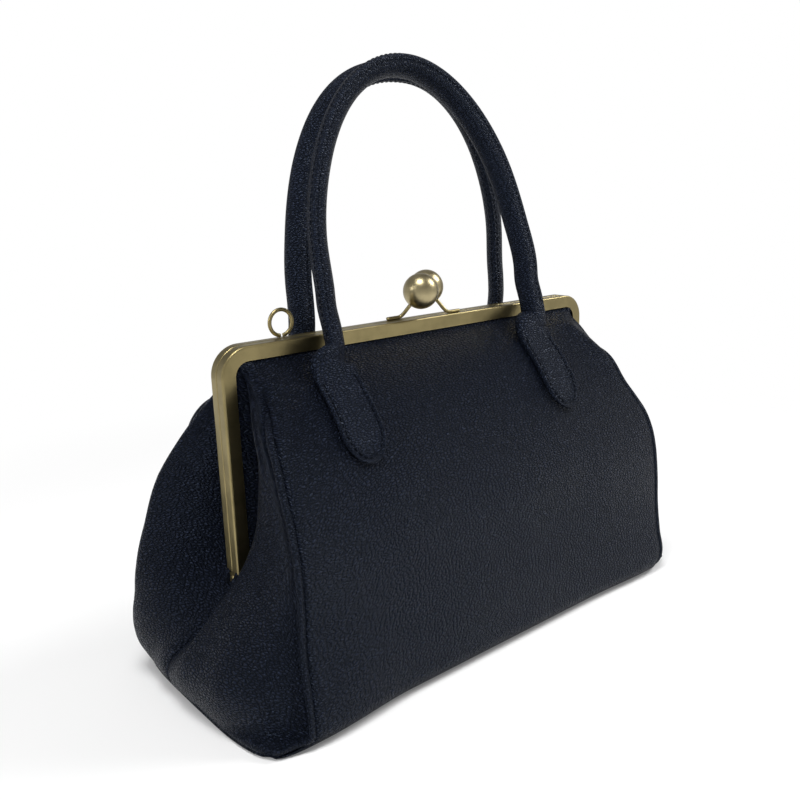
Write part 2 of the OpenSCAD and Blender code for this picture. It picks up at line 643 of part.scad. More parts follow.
front_frame_rail();
rear_frame_rail();
hinge_rivets();
front_clasp_ball();
front_clasp_stalk();
rear_clasp_ball();
rear_clasp_stalk();
strap_rings();
front_grip_cord();
rear_grip_cord();
wrap_panel();
front_panel();
rear_panel();
front_panel_fold();
rear_panel_fold();
left_gusset();
right_gusset();
front_gusset_folds();
rear_gusset_folds();
left_piping();
right_piping();
front_side_piping();
rear_side_piping();
base_board();
tub_lining();
front_lining();
rear_lining();
slip_pocket();
front_handle();
rear_handle();
front_handle_core();
rear_handle_core();
front_handle_tabs();
rear_handle_tabs();
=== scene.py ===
"""Kiss lock frame purse: pebbled leather body, rolled handles and brushed brass frame.

The sizes are in millimetres until a mesh is made, and the axes are those of the CAD model:
X runs along the frame, Y from the front to the back and Z up, from the floor.
"""

from __future__ import annotations

import logging
import math
from dataclasses import dataclass, field
from enum import Enum
from typing import ClassVar

import bpy
import numpy as np
from mathutils import Matrix, Vector


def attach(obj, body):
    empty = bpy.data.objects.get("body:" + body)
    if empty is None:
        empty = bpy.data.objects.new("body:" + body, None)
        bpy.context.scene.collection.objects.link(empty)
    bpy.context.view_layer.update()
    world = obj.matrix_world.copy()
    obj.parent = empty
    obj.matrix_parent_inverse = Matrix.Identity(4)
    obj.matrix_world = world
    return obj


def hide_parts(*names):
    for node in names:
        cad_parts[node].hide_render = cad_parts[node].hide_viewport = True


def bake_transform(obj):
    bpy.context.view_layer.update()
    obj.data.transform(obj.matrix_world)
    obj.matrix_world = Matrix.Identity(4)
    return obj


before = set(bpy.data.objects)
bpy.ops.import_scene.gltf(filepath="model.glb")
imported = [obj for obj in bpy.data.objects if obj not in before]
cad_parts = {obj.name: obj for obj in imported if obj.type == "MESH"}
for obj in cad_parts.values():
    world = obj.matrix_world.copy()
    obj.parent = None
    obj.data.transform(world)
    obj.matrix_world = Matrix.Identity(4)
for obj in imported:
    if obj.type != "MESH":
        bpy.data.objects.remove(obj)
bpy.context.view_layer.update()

Array = np.ndarray
Node, Socket, Tree = bpy.types.Node, bpy.types.NodeSocket, bpy.types.NodeTree
Piece = bpy.types.Object

log = logging.getLogger("purse")
MM = 0.001
UV_NAME = "leather_uv"
STATIC, FRONT_HALF, REAR_HALF = "purse_body", "front_half", "rear_half"


class Face(Enum):
    """The front or the rear of the purse, as a sign along Y."""

    FRONT = -1
    REAR = 1

    @property
    def word(self) -> str:
        """The name that node names start with."""
        return self.name.lower()

    @property
    def half(self) -> str:
        """The body of this side's frame half."""
        return FRONT_HALF if self is Face.FRONT else REAR_HALF

    @property
    def loop(self) -> str:
        """The body of this side's handle."""
        return f"{self.word}_handle_loop"


class Corner(Enum):
    """A quarter of the body: sign along X, side, and how full its gusset lobe stands."""

    LEFT_FRONT = (-1, Face.FRONT, 0.0)
    RIGHT_FRONT = (1, Face.FRONT, 0.45)
    LEFT_REAR = (-1, Face.REAR, 1.0)
    RIGHT_REAR = (1, Face.REAR, 0.85)

    def __init__(self, side: int, face: Face, fullness: float) -> None:
        """Names the parts of the value; fullness is 0 for a lobe tucked in behind the leg."""
        self.side = side
        self.face = face
        self.fullness = fullness

    @property
    def hand(self) -> str:
        """Left or right."""
        return "left" if self.side < 0 else "right"

    @property
    def signs(self) -> Array:
        """What turns the right rear quarter into this one."""
        return np.array([self.side, self.face.value, 1])

    @property
    def turned(self) -> bool:
        """True where that mirroring turns the faces over."""
        return self.side * self.face.value < 0


# Curves and meshes


def smooth(low: float, high: float, value: Array | float) -> Array:
    """Smooth step from 0 at low to 1 at high."""
    t = np.clip((np.asarray(value, float) - low) / (high - low), 0, 1)
    return t * t * (3 - 2 * t)


def bell(value: Array, middle: Array | float, width: float) -> Array:
    """A soft bump of height one round a middle."""
    return np.exp(-(((value - middle) / width) ** 2))


@dataclass(frozen=True)
class Band:
    """A soft form that rises between two heights and fades between two higher ones."""

    amount: float
    rise: tuple[float, float]
    fall: tuple[float, float]

    def at(self, z: Array) -> Array:
        """The form's amount at a height."""
        return self.amount * smooth(*self.rise, z) * (1 - smooth(*self.fall, z))


def through(keys: Array | tuple, values: Array | tuple, at: Array | float) -> Array:
    """Smooth curve through a few given values.

    Args:
        keys: rising places of the values.
        values: the values there, a number or a row of numbers for each place.
        at: where to read the curve.

    Returns:
        The curve's values, held level past both ends.
    """
    k, v = np.asarray(keys, float), np.asarray(values, float)
    at = np.clip(np.asarray(at, float), k[0], k[-1])
    slope = np.gradient(v, k, axis=0)
    i = np.clip(np.searchsorted(k, at, side="right") - 1, 0, len(k) - 2)
    run = (k[i + 1] - k[i]).reshape(at.shape + (1,) * (v.ndim - 1))
    t = (at - k[i]).reshape(run.shape) / run
    rise = (1 + 2 * t) * (1 - t) ** 2 * v[i] + t * t * (3 - 2 * t) * v[i + 1]
    return rise + run * (t * (1 - t) ** 2 * slope[i] - t * t * (1 - t) * slope[i + 1])


def bezier(a: tuple, b: tuple, c: tuple, d: tuple, t: Array) -> Array:
    """Points of a cubic Bezier curve at the given parameters."""
    t = np.asarray(t, float)[..., None]
    a, b, c, d = (np.asarray(p, float) for p in (a, b, c, d))
    return a * (1 - t) ** 3 + 3 * b * t * (1 - t) ** 2 + 3 * c * t * t * (1 - t) + d * t**3


def lengths(points: Array, axis: int = 0) -> Array:
    """Distance along rows of points, from the first one."""
    steps = np.linalg.norm(np.diff(points, axis=axis), axis=-1)
    return np.cumsum(np.insert(steps, 0, 0.0, axis=axis), axis=axis)


def resample(points: Array, count: int) -> Array:
    """The same route as a smooth curve with a number of evenly spaced points."""
    run = lengths(points)
    return through(run, points, np.linspace(0, run[-1], count))


def unit(vectors: Array) -> Array:
    """Vectors scaled to length one, along the last axis."""
    return vectors / np.maximum(np.linalg.norm(vectors, axis=-1, keepdims=True), 1e-9)


def rings_round(line: Array, first: Array, second: Array, a: Array, b: Array) -> Array:
    """Rings of points round a line.

    Args:
        line: the line's points.
        first: one direction across the line at each point.
        second: the other direction across it.
        a: how far the ring's points lie along the first direction, by point and place.
        b: the same along the second direction.

    Returns:
        Points by ring and place in the ring.
    """
    return line[:, None] + a[..., None] * first[:, None] + b[..., None] * second[:, None]


def add_object(name: str, data: bpy.types.ID) -> Piece:
    """A new object in the scene."""
    made = bpy.data.objects.new(name, data)
    bpy.context.scene.collection.objects.link(made)
    return made


def make_object(name: str, points: Array, faces: list, uv: Array | None = None) -> Piece:
    """A smooth mesh object from points in millimetres.

    Args:
        name: the piece's name.
        points: one row for each vertex.
        faces: vertex numbers of each face.
        uv: surface coordinates in metres for each vertex, if the finish needs them.

    Returns:
        The linked object.
    """
    mesh = bpy.data.meshes.new(name)
    mesh.from_pydata((np.asarray(points) * MM).tolist(), [], faces)
    mesh.shade_smooth()
    if uv is not None:
        layer = mesh.uv_layers.new(name=UV_NAME)
        corner_vertex = np.empty(len(mesh.loops), int)
        mesh.loops.foreach_get("vertex_index", corner_vertex)
        layer.data.foreach_set("uv", np.asarray(uv, np.float32)[corner_vertex].ravel())
    return add_object(name, mesh)


def quads(rows: int, cols: int, flip: bool) -> list[list[int]]:
    """Four-sided faces over a grid of vertices that are numbered row by row."""
    number = np.arange(rows * cols).reshape(rows, cols)
    corners = [number[:-1, :-1], number[1:, :-1], number[1:, 1:], number[:-1, 1:]]
    order = (0, 3, 2, 1) if flip else (0, 1, 2, 3)
    return np.stack([corners[i].ravel() for i in order], axis=1).tolist()


def sheet(name: str, grid: Array, flip: bool, thickness: float, offset: float = -1) -> Piece:
    """A sheet of leather or cloth over a grid of points.

    Args:
        name: the piece's name.
        grid: points by row and column, in millimetres.
        flip: turns the faces over.
        thickness: how thick the sheet is made, in millimetres.
        offset: -1 keeps the grid as the outer face, 0 as the middle.

    Returns:
        The object, with surface coordinates that follow its own lengths.
    """
    across = lengths(grid, axis=1)
    across -= across[:, grid.shape[1] // 2][:, None]
    uv = np.stack([across, lengths(grid)], axis=2).reshape(-1, 2) * MM
    made = make_object(name, grid.reshape(-1, 3), quads(*grid.shape[:2], flip), uv)
    solid = made.modifiers.new("thickness", "SOLIDIFY")
    solid.thickness = thickness * MM
    solid.offset = offset
    solid.use_even_offset = False
    return made


def loft(name: str, rings: Array, flip: bool = False) -> Piece:
    """A tube with flat ends through closed rings of points.

    Args:
        name: the piece's name.
        rings: points by ring and place in the ring, in millimetres.
        flip: turns the faces over.

    Returns:
        The object, with surface coordinates round and along it.
    """
    rings = rings[:, ::-1] if flip else rings
    count, sides = rings.shape[:2]
    wrapped = np.concatenate([rings, rings[:, :1]], axis=1)
    faces = quads(count, sides + 1, True)
    last = (count - 1) * (sides + 1)
    faces += [list(range(sides))[::-1], list(range(last, last + sides))]
    along = np.repeat(lengths(rings.mean(axis=1))[:, None], sides + 1, axis=1)
    uv = np.stack([lengths(wrapped, axis=1), along], axis=2).reshape(-1, 2) * MM
    made = make_object(name, wrapped.reshape(-1, 3), faces, uv)
    made.modifiers.new("join", "WELD").merge_threshold = 0.00001
    return made


def capsules(name: str, ends: Array, outward: Array, width: float) -> Piece:
    """Short rounded stitches in one mesh.

    Args:
        name: the piece's name.
        ends: first and last point of each stitch, in millimetres.
        outward: the surface's direction at each stitch.
        width: the thread's width.

    Returns:
        The object.
    """
    profile = [(0.0, 0.35), (0.12, 0.8), (0.35, 1.0), (0.65, 1.0), (0.88, 0.8), (1.0, 0.35)]
    sides = 6
    points, faces = [], []
    for (start, stop), up in zip(ends, outward):
        side = unit(np.cross(unit(stop - start), up))
        first = len(points)
        for share, size in profile:
            for a in 2 * np.pi * np.arange(sides) / sides:
                aside = width / 2 * size * (math.cos(a) * side + math.sin(a) * up)
                points.append(start + (stop - start) * share + aside)
        for low in range(first, len(points) - sides, sides):
            for j in range(sides):
                k = (j + 1) % sides
                faces.append((low + j, low + k, low + sides + k, low + sides + j))
        faces.append(tuple(range(first, first + sides))[::-1])
        faces.append(tuple(range(len(points) - sides, len(points))))
    points = np.asarray(points)
    return make_object(name, points, faces, points[:, :2] * MM)


# Finishes


class Graph:
    """A node tree with short calls for adding nodes and links."""

    def __init__(self, tree: Tree) -> None:
        """Keeps the tree."""
        self.tree = tree

    def fill(self, node: Node, inputs: dict) -> None:
        """Gives a node's inputs, by name or number, their values or another node's outputs."""
        for key, value in inputs.items():
            if isinstance(value, Socket):
                self.tree.links.new(value, node.inputs[key])
            else:
                node.inputs[key].default_value = value

    def node(self, kind: str, inputs: dict | None = None, **settings: object) -> Node:
        """Adds a node.

        Args:
            kind: Blender's type name without the ShaderNode prefix.
            inputs: socket name or number to a value or another node's output.
            settings: attributes of the node.

        Returns:
            The node.
        """
        made = self.tree.nodes.new(kind if kind.startswith("Node") else f"ShaderNode{kind}")
        for key, value in settings.items():
            setattr(made, key, value)
        self.fill(made, inputs or {})
        return made

    def use(self, group: Tree, **inputs: object) -> bpy.types.NodeOutputs:
        """The outputs of a shared group that gets these inputs."""
        return self.node("Group", inputs, node_tree=group).outputs

    def place(self) -> Socket:
        """The point's place in the piece."""
        return self.node("TexCoord").outputs["Object"]

    def surface(self) -> Socket:
        """The point's coordinates on the sheet or the tube."""
        return self.node("UVMap", uv_map=UV_NAME).outputs[0]

    def math(self, operation: str, a: object, b: object = 0.0) -> Socket:
        """A Math node's result for two values or outputs."""
        return self.node("Math", {0: a, 1: b}, operation=operation).outputs[0]

    def line(self, value: object, times: float, plus: object) -> Socket:
        """A value times a factor, plus another value."""
        return self.math("ADD", plus, self.math("MULTIPLY", value, times))

    def step(self, value: object, low: float, high: float, floor: float = 0.0) -> Socket:
        """A smooth step of a value from the floor at low to 1 at high."""
        inputs = {"Value": value, "From Min": low, "From Max": high, "To Min": floor}
        return self.node("MapRange", inputs, interpolation_type="SMOOTHSTEP").outputs["Result"]

    def mix(self, share: object, a: object, b: object) -> Socket:
        """A mixed colour: a at share 0 and b at share 1."""
        return self.node("Mix", {0: share, 6: a, 7: b}, data_type="RGBA").outputs[2]

    def vector(self, operation: str, *values: object) -> Socket:
        """A Vector Math node's result."""
        return self.node("VectorMath", dict(enumerate(values)), operation=operation).outputs[0]

    def noise(self, vector: object, scale: object, detail: float, flat: bool = False) -> Socket:
        """A noise texture's value, in two dimensions if flat."""
        inputs = {"Vector": vector, "Scale": scale, "Detail": detail}
        return self.node("TexNoise", inputs, noise_dimensions="2D" if flat else "3D").outputs[0]

    def bump(self, height: object, distance: float, strength: float) -> Socket:
        """A normal that leans with a height."""
        return self.node("Bump", {"Height": height, "Distance": distance, "Strength": strength}).outputs[0]


def emptied(owner: bpy.types.Material | bpy.types.World) -> Graph:
    """The node tree of a material or a world, without its first nodes."""
    owner.use_nodes = True
    owner.node_tree.nodes.clear()
    return Graph(owner.node_tree)


def new_group(name: str, inputs: dict, outputs: dict) -> tuple[Graph, bpy.types.NodeOutputs, Node]:
    """An empty shader node group.

    Args:
        name: the group's name.
        inputs: socket name to Float, Vector or Color.
        outputs: the same for what it puts out.

    Returns:
        The group's graph, its input sockets by name, and its output node.
    """
    tree = bpy.data.node_groups.new(name, "ShaderNodeTree")
    for direction, sockets in (("INPUT", inputs), ("OUTPUT", outputs)):
        for label, kind in sockets.items():
            tree.interface.new_socket(name=label, in_out=direction, socket_type=f"NodeSocket{kind}")
    graph = Graph(tree)
    return graph, graph.node("NodeGroupInput").outputs, graph.node("NodeGroupOutput")


class Effects:
    """The shader node groups that the finishes share, each built once."""

    def __init__(self) -> None:
        """Builds every group."""
        self.pebble = self.pebble_group()
        self.patches = self.patches_group()
        self.edge = self.edge_group()
        self.brushed = self.brushed_group()
        self.weave = self.weave_group()

    @staticmethod
    def pebble_group() -> Tree:
        """Pebbled leather grain: longish cells with creases between them."""
        inputs = {"Vector": "Vector", "Cell": "Float", "Stretch": "Float"}
        graph, given, out = new_group("pebble grain", inputs, {"Height": "Float", "Crease": "Float"})
        density = graph.math("DIVIDE", 1.0, given["Cell"])
        longer = graph.math("DIVIDE", density, given["Stretch"])
        spread = graph.node("CombineXYZ", {0: longer, 1: density, 2: density}).outputs[0]
        at = graph.vector("MULTIPLY", given["Vector"], spread)
        cloud = graph.node("TexNoise", {"Vector": at, "Scale": 0.7, "Detail": 2.0}, noise_dimensions="2D")
        moved = graph.vector("MULTIPLY_ADD", cloud.outputs["Color"], (0.9, 0.9, 0.0), at)
        cells = graph.node(
            "TexVoronoi", {"Vector": moved, "Scale": 1.0}, voronoi_dimensions="2D", feature="DISTANCE_TO_EDGE"
        )
        crease = graph.step(cells.outputs["Distance"], 0.0, 0.22)
        crown = graph.step(cells.outputs["Distance"], 0.0, 0.55)
        fine = graph.noise(moved, 3.2, 3.0, flat=True)
        height = graph.line(crown, 0.35, graph.line(fine, 0.25, graph.math("MULTIPLY", crease, 0.55)))
        graph.fill(out, {"Height": height, "Crease": graph.math("SUBTRACT", 1.0, crease)})
        return graph.tree

    @staticmethod
    def patches_group() -> Tree:
        """Broad uneven patches, for colour and gloss that vary over a piece."""
        inputs = {"Vector": "Vector", "Size": "Float"}
        graph, given, out = new_group("soft patches", inputs, {"Mask": "Float"})
        cloud = graph.noise(given["Vector"], graph.math("DIVIDE", 1.0, given["Size"]), 3.0)
        graph.fill(out, {"Mask": graph.step(cloud, 0.3, 0.7)})
        return graph.tree

    @staticmethod
    def edge_group() -> Tree:
        """A mask that is one on sharp outer edges, where a finish wears first and where the highlights that
        such edges catch are painted in.
        """
        inputs = {"Radius": "Float", "Vector": "Vector"}
        graph, given, out = new_group("edge wear", inputs, {"Mask": "Float"})
        bent = graph.node("Bevel", {"Radius": given["Radius"]}, samples=6).outputs[0]
        plain = graph.node("NewGeometry").outputs["Normal"]
        alike = graph.node("VectorMath", {0: bent, 1: plain}, operation="DOT_PRODUCT").outputs["Value"]
        sharp = graph.step(graph.math("SUBTRACT", 1.0, alike), 0.004, 0.12)
        broken = graph.step(graph.noise(given["Vector"], 240.0, 3.0), 0.25, 0.6)
        graph.fill(out, {"Mask": graph.math("MULTIPLY", sharp, broken)})
        return graph.tree

    @staticmethod
    def brushed_group() -> Tree:
        """Fine lines along one direction, as a brush leaves on metal."""
        inputs = {"Vector": "Vector", "Stretch": "Vector"}
        graph, given, out = new_group("brushed lines", inputs, {"Lines": "Float"})
        at = graph.vector("MULTIPLY", given["Vector"], given["Stretch"])
        graph.fill(out, {"Lines": graph.noise(at, 1.0, 4.0)})
        return graph.tree

    @staticmethod
    def weave_group() -> Tree:
        """A plain weave: threads that pass over and under each other."""
        inputs = {"Vector": "Vector", "Thread": "Float"}
        graph, given, out = new_group("plain weave", inputs, {"Height": "Float", "Gap": "Float"})
        density = graph.math("DIVIDE", math.pi, given["Thread"])
        at = graph.node("VectorMath", {0: given["Vector"], "Scale": density}, operation="SCALE").outputs[0]
        along = graph.node("SeparateXYZ", {0: at}).outputs
        warp, weft = (graph.math("ABSOLUTE", graph.math("SINE", along[i])) for i in (0, 1))
        half_x, half_y = (graph.math("SINE", graph.math("MULTIPLY", along[i], 0.5)) for i in (0, 1))
        over = graph.step(graph.math("MULTIPLY", half_x, half_y), -0.2, 0.2)
        height = graph.node("Mix", {0: over, 2: warp, 3: weft}).outputs[0]
        gap = graph.math("SUBTRACT", 1.0, graph.math("MAXIMUM", warp, weft))
        graph.fill(out, {"Height": height, "Gap": gap})
        return graph.tree


@dataclass(frozen=True)
class Finish:
    """What every finish has: a slot of the record, a base colour and soft patches in it."""

    name: str
    slot: str
    colour: tuple[float, float, float]
    roughness: float
    patch_size: float = 0.03
    patch_shades: tuple[float, float] = (0.85, 1.12)

    def start(self, effects: Effects) -> tuple[bpy.types.Material, Graph, Node, Socket]:
        """A new material with its graph, a wired Principled shader and the patches' mask."""
        made = bpy.data.materials.new(self.name)
        graph = emptied(made)
        inputs = {"Base Color": self.shade(1.0), "Roughness": self.roughness}
        shader = graph.node("BsdfPrincipled", inputs)
        graph.node("OutputMaterial", {"Surface": shader.outputs[0]})
        mask = graph.use(effects.patches, Vector=graph.place(), Size=self.patch_size)["Mask"]
        return made, graph, shader, mask

    def shade(self, factor: float) -> tuple[float, float, float, float]:
        """The base colour times a factor, with alpha."""
        return (*(min(1.0, c * factor) for c in self.colour), 1.0)

    def patchy(self, graph: Graph, mask: Socket) -> Socket:
        """The base colour with its patches."""
        dark, light = self.patch_shades
        return graph.mix(mask, self.shade(dark), self.shade(light))


@dataclass(frozen=True)
class PebbledLeather(Finish):
    """Satin leather with a printed pebble grain."""

    patch_size: float = 0.045
    patch_shades: tuple[float, float] = (0.82, 1.18)
    patch_gloss: float = 0.08
    cell: float = 0.0012
    stretch: float = 2.1
    depth: float = 0.0015
    # Painted highlight on the grain's crowns and painted shade in its creases, both in the base colour
    highlight_crown_from: tuple[float, float] = (0.55, 1.05)
    painted_crown_highlight: float = 2.4
    crease_shade_share: float = 0.95
    painted_crease_shade: float = 0.12
    crease_matt: float = 0.35
    gloss: float = 0.17
    sheen_tint: tuple[float, float, float] = (0.52, 0.68, 1.0)

    def material(self, effects: Effects) -> bpy.types.Material:
        """Builds the leather from its grain, colour patches and gloss, with painted highlights on the grain's
        crowns and painted shade in its creases.
        """
        made, graph, shader, mask = self.start(effects)
        grain = graph.use(effects.pebble, Vector=graph.surface(), Cell=self.cell, Stretch=self.stretch)
        # Painted highlight: the base colour is lighter on the grain's crowns
        crown_highlight_mask = graph.step(grain["Height"], *self.highlight_crown_from)
        with_crown_highlight = graph.mix(crown_highlight_mask, self.patchy(graph, mask), self.shade(self.painted_crown_highlight))
        # Painted shade: the base colour is darker in the grain's creases
        creases = graph.math("MULTIPLY", grain["Crease"], self.crease_shade_share)
        rough = graph.line(mask, self.patch_gloss, self.roughness - self.patch_gloss / 2)
        rough = graph.line(grain["Crease"], self.crease_matt, rough)
        graph.fill(shader, {
            "Base Color": graph.mix(creases, with_crown_highlight, self.shade(self.painted_crease_shade)),
            "Roughness": rough,
            "Normal": graph.bump(grain["Height"], self.depth, 1.0),
            "Specular IOR Level": self.gloss,
            "Specular Tint": (*self.sheen_tint, 1.0),
        })
        return made


@dataclass(frozen=True)
class BrushedBrass(Finish):
    """Antique brass: dark in its patina, brushed along the piece, and bright on sharp edges, partly rubbed
    there and partly a painted highlight.
    """

    patch_size: float = 0.012
    patch_shades: tuple[float, float] = (0.78, 1.1)
    lines: tuple[float, float, float] = (60.0, 2400.0, 2400.0)
    line_share: float = 0.35
    line_shade: float = 1.3
    line_matt: float = 0.16
    line_depth: float = 0.00004
    rubbed_and_lit_radius: float = 0.0005
    rubbed_and_lit_share: float = 0.8
    rubbed_and_lit_shade: float = 2.1

    def material(self, effects: Effects) -> bpy.types.Material:
        """Builds the brass from its brush lines, patina and lighter sharp edges, which are partly rubbed
        brass and partly a painted highlight.
        """
        made, graph, shader, mask = self.start(effects)
        lines = graph.use(effects.brushed, Vector=graph.place(), Stretch=self.lines)["Lines"]
        # Lighter on sharp edges: rubbed brass there, and a painted highlight that such edges catch
        rubbed_and_lit_edges = graph.use(effects.edge, Vector=graph.place(), Radius=self.rubbed_and_lit_radius)["Mask"]
        share = graph.math("MULTIPLY", lines, self.line_share)
        brushed = graph.mix(share, self.patchy(graph, mask), self.shade(self.line_shade))
        rubbed_and_lit_mix = graph.math("MULTIPLY", rubbed_and_lit_edges, self.rubbed_and_lit_share)
        graph.fill(shader, {
            "Metallic": 1.0,
            "Base Color": graph.mix(rubbed_and_lit_mix, brushed, self.shade(self.rubbed_and_lit_shade)),
            "Roughness": graph.line(lines, self.line_matt, self.roughness - self.line_matt / 2),
            "Normal": graph.bump(lines, self.line_depth, 0.6),
        })
        return made


@dataclass(frozen=True)
class WovenCloth(Finish):
    """Matt woven cotton, for the lining, the pocket and the cords."""

    thread: float = 0.0005
    depth: float = 0.0002
    gap_shade_share: float = 0.8
    painted_gap_shade: float = 0.35
    gloss: float = 0.15
    fuzz: float = 0.15

    def material(self, effects: Effects) -> bpy.types.Material:
        """Builds the cloth from its weave and uneven dye, with painted shade in the gaps between the threads.
        """
        made, graph, shader, mask = self.start(effects)
        weave = graph.use(effects.weave, Vector=graph.surface(), Thread=self.thread)
        # Painted shade: the base colour is darker in the gaps between the threads
        gap_shade_mask = graph.math("MULTIPLY", weave["Gap"], self.gap_shade_share)
        graph.fill(shader, {
            "Base Color": graph.mix(gap_shade_mask, self.patchy(graph, mask), self.shade(self.painted_gap_shade)),
            "Normal": graph.bump(weave["Height"], self.depth, 0.8),
            "Specular IOR Level": self.gloss,
            "Sheen Weight": self.fuzz,
        })
        return made


@dataclass(frozen=True)
class FibreStuff(Finish):
    """Pressed board or twisted paper: matt, with fibres that show."""

    patch_size: float = 0.02
    patch_shades: tuple[float, float] = (0.85, 1.1)
    fibre: tuple[float, float, float] = (300.0, 900.0, 900.0)
    streaks: tuple[float, float] = (0.4, 0.7)
    streak_shade: float = 0.7
    depth: float = 0.0001

    def material(self, effects: Effects) -> bpy.types.Material:
        """Builds the stuff from its fibres and stains."""
        made, graph, shader, mask = self.start(effects)
        lines = graph.use(effects.brushed, Vector=graph.place(), Stretch=self.fibre)["Lines"]
        streaks = graph.step(lines, *self.streaks)
        graph.fill(shader, {
            "Base Color": graph.mix(streaks, self.patchy(graph, mask), self.shade(self.streak_shade)),
            "Normal": graph.bump(lines, self.depth, 0.7),
        })
        return made


class Palette:
    """Every material of the purse."""

    FINISHES: ClassVar[dict[str, Finish]] = {
        "body": PebbledLeather("navy body leather", "body_leather", (0.0038, 0.0050, 0.0098), 0.29),
        "piping": PebbledLeather(
            "navy piping leather", "piping_leather", (0.0040, 0.0050, 0.0090), 0.29, cell=0.0011, depth=0.0008
        ),
        "handle": PebbledLeather(
            "navy handle leather", "handle_leather", (0.0046, 0.0060, 0.0112), 0.28, cell=0.0011, depth=0.0007
        ),
        "thread": PebbledLeather(
            "waxed thread", "handle_leather", (0.0036, 0.0046, 0.0082), 0.5, cell=0.0004
        ),
        "brass": BrushedBrass("brushed antique brass", "brass", (0.265, 0.218, 0.105), 0.36),
        # The balls get a lighter copy of the frame's brass: painted light, as their round tops catch the
        # lamps
        "ball": BrushedBrass(
            "rubbed antique brass", "brass", (0.39, 0.33, 0.19), 0.33, lines=(1500.0, 1500.0, 120.0)
        ),
        "lining": WovenCloth("lining cotton", "lining", (0.045, 0.048, 0.062), 0.8),
        "cord": WovenCloth("core cord", "core_cord", (0.55, 0.50, 0.40), 0.85, thread=0.0008),
        "board": FibreStuff("fibre board", "board", (0.30, 0.24, 0.17), 0.8),
        "paper": FibreStuff("twisted paper", "paper_cord", (0.55, 0.47, 0.34), 0.85),
    }

    def __init__(self) -> None:
        """Builds the groups and then the materials."""
        effects = Effects()
        self.made = {key: finish.material(effects) for key, finish in self.FINISHES.items()}

    def coat(self, piece: Piece, key: str) -> None:
        """Gives a piece one material and no other."""
        piece.data.materials.clear()
        piece.data.materials.append(self.made[key])

    def dress(self, piece: Piece, key: str) -> None:
        """Gives a new piece its material and logs its name."""
        self.coat(piece, key)
        log.info("made %s", piece.name)


# The leather body


@dataclass(frozen=True)
class BodyShape:
    """The body's sizes in millimetres, and the curves that follow from them."""

    frame_top: float = 180.0
    leg_drop: float = 120.0
    channel_w: float = 7.4
    grip_y: float = 4.1
    base_half: float = 68.0
    wall_lean: float = 6.0
    panel_lean: float = 4.0
    bottom_r: float = 9.0
    half_low: float = 139.0
    half_fold: float = 134.5
    corner_flare: float = 19.0
    base_bow: float = 7.0
    fold_z: float = 75.0
    panel_z: float = 118.0
    shoulder: tuple[float, float] = (36.0, 152.6)
    seam_in: float = 2.3
    gusset_in: float = 4.6
    seam_heights: tuple = (75, 100, 125, 145, 157, 165, 172.6)
    seam_halves: tuple = (134.5, 133.8, 133, 130, 123, 121.5, 124.5)

    @property
    def mouth_z(self) -> float:
        """Height of the channel's mouth along the frame's top."""
        return self.frame_top - self.channel_w

    @property
    def hinge_z(self) -> float:
        """Height of the hinge rivets."""
        return self.frame_top - self.leg_drop

    @property
    def arc_y(self) -> float:
        """Where the flat base ends and the bottom edge begins to turn up."""
        return self.base_half - self.bottom_r

    @property
    def fold_y(self) -> float:
        """Depth of the wall at the fold line."""
        return self.base_half - self.wall_lean

    def upper(self, t: Array) -> Array:
        """Depth and height along an upper wall, from the fold line to the frame's mouth."""
        low, panel = (self.fold_y, self.fold_z), (self.fold_y - self.panel_lean, self.panel_z)
        return bezier(low, panel, self.shoulder, (self.grip_y, self.mouth_z), t)

    def seam_x(self, z: Array) -> Array:
        """Half width between the side seams at a height above the bottom edge."""
        z = np.asarray(z, float)
        share = (z - self.bottom_r) / (self.fold_z - self.bottom_r)
        low = self.half_low + (self.half_fold - self.half_low) * share
        return np.where(z < self.fold_z, low, through(self.seam_heights, self.seam_halves, z))

    def profile(self) -> Array:
        """The outer face from the middle of the base up to the frame's mouth.

        Returns:
            Rows of depth, height and seam half width.
        """
        flat_y = np.linspace(0, self.arc_y, 24, endpoint=False)
        bow = np.sqrt(1 - (flat_y / self.arc_y) ** 4)
        flat_x = self.half_low + self.corner_flare + self.base_bow * bow
        turn = np.radians(np.linspace(0, 90, 14, endpoint=False))
        arc_y, arc_z = self.arc_y + self.bottom_r * np.sin(turn), self.bottom_r * (1 - np.cos(turn))
        arc_x = self.half_low + self.corner_flare * np.cos(turn) ** 2
        rise = np.linspace(0, 1, 30, endpoint=False)
        lower_z = self.bottom_r + (self.fold_z - self.bottom_r) * rise
        top_y, top_z = self.upper(np.linspace(0, 1, 60)).T
        stretches = (
            (flat_y, 0 * flat_y, flat_x),
            (arc_y, arc_z, arc_x),
            (self.base_half - self.wall_lean * rise, lower_z, self.seam_x(lower_z)),
            (top_y, top_z, self.seam_x(top_z)),
        )
        return np.concatenate([np.stack(stretch, axis=1) for stretch in stretches])

    def normals(self, rows: Array) -> Array:
        """Outward direction in depth and height along a profile."""
        ahead = unit(np.gradient(rows[:, :2], axis=0))
        return np.stack([ahead[:, 1], -ahead[:, 0]], axis=1)

    def wall_depth(self, z: Array) -> Array:
        """Depth of the wall's outer face at a height."""
        rows = self.profile()
        rows = rows[rows[:, 1] > 0.01]
        return np.interp(z, rows[:, 1], rows[:, 0])

    def gusset_seam(self, z: Array) -> Array:
        """Half width and depth of the seam's inner side, where a gusset begins."""
        inner_r = self.bottom_r - self.gusset_in
        turn = np.arcsin(np.clip((self.bottom_r - z) / inner_r, 0, 1))
        wall = self.wall_depth(z)
        inside = wall - self.gusset_in * np.hypot(1, np.gradient(wall, z))
        low = z < self.bottom_r
        y = np.where(low, self.arc_y + inner_r * np.cos(turn), inside)
        x = np.where(low, self.half_low + self.corner_flare * np.sin(turn) ** 2, self.seam_x(z))
        return np.stack([x, np.maximum(y, self.grip_y + 0.6)], axis=-1)


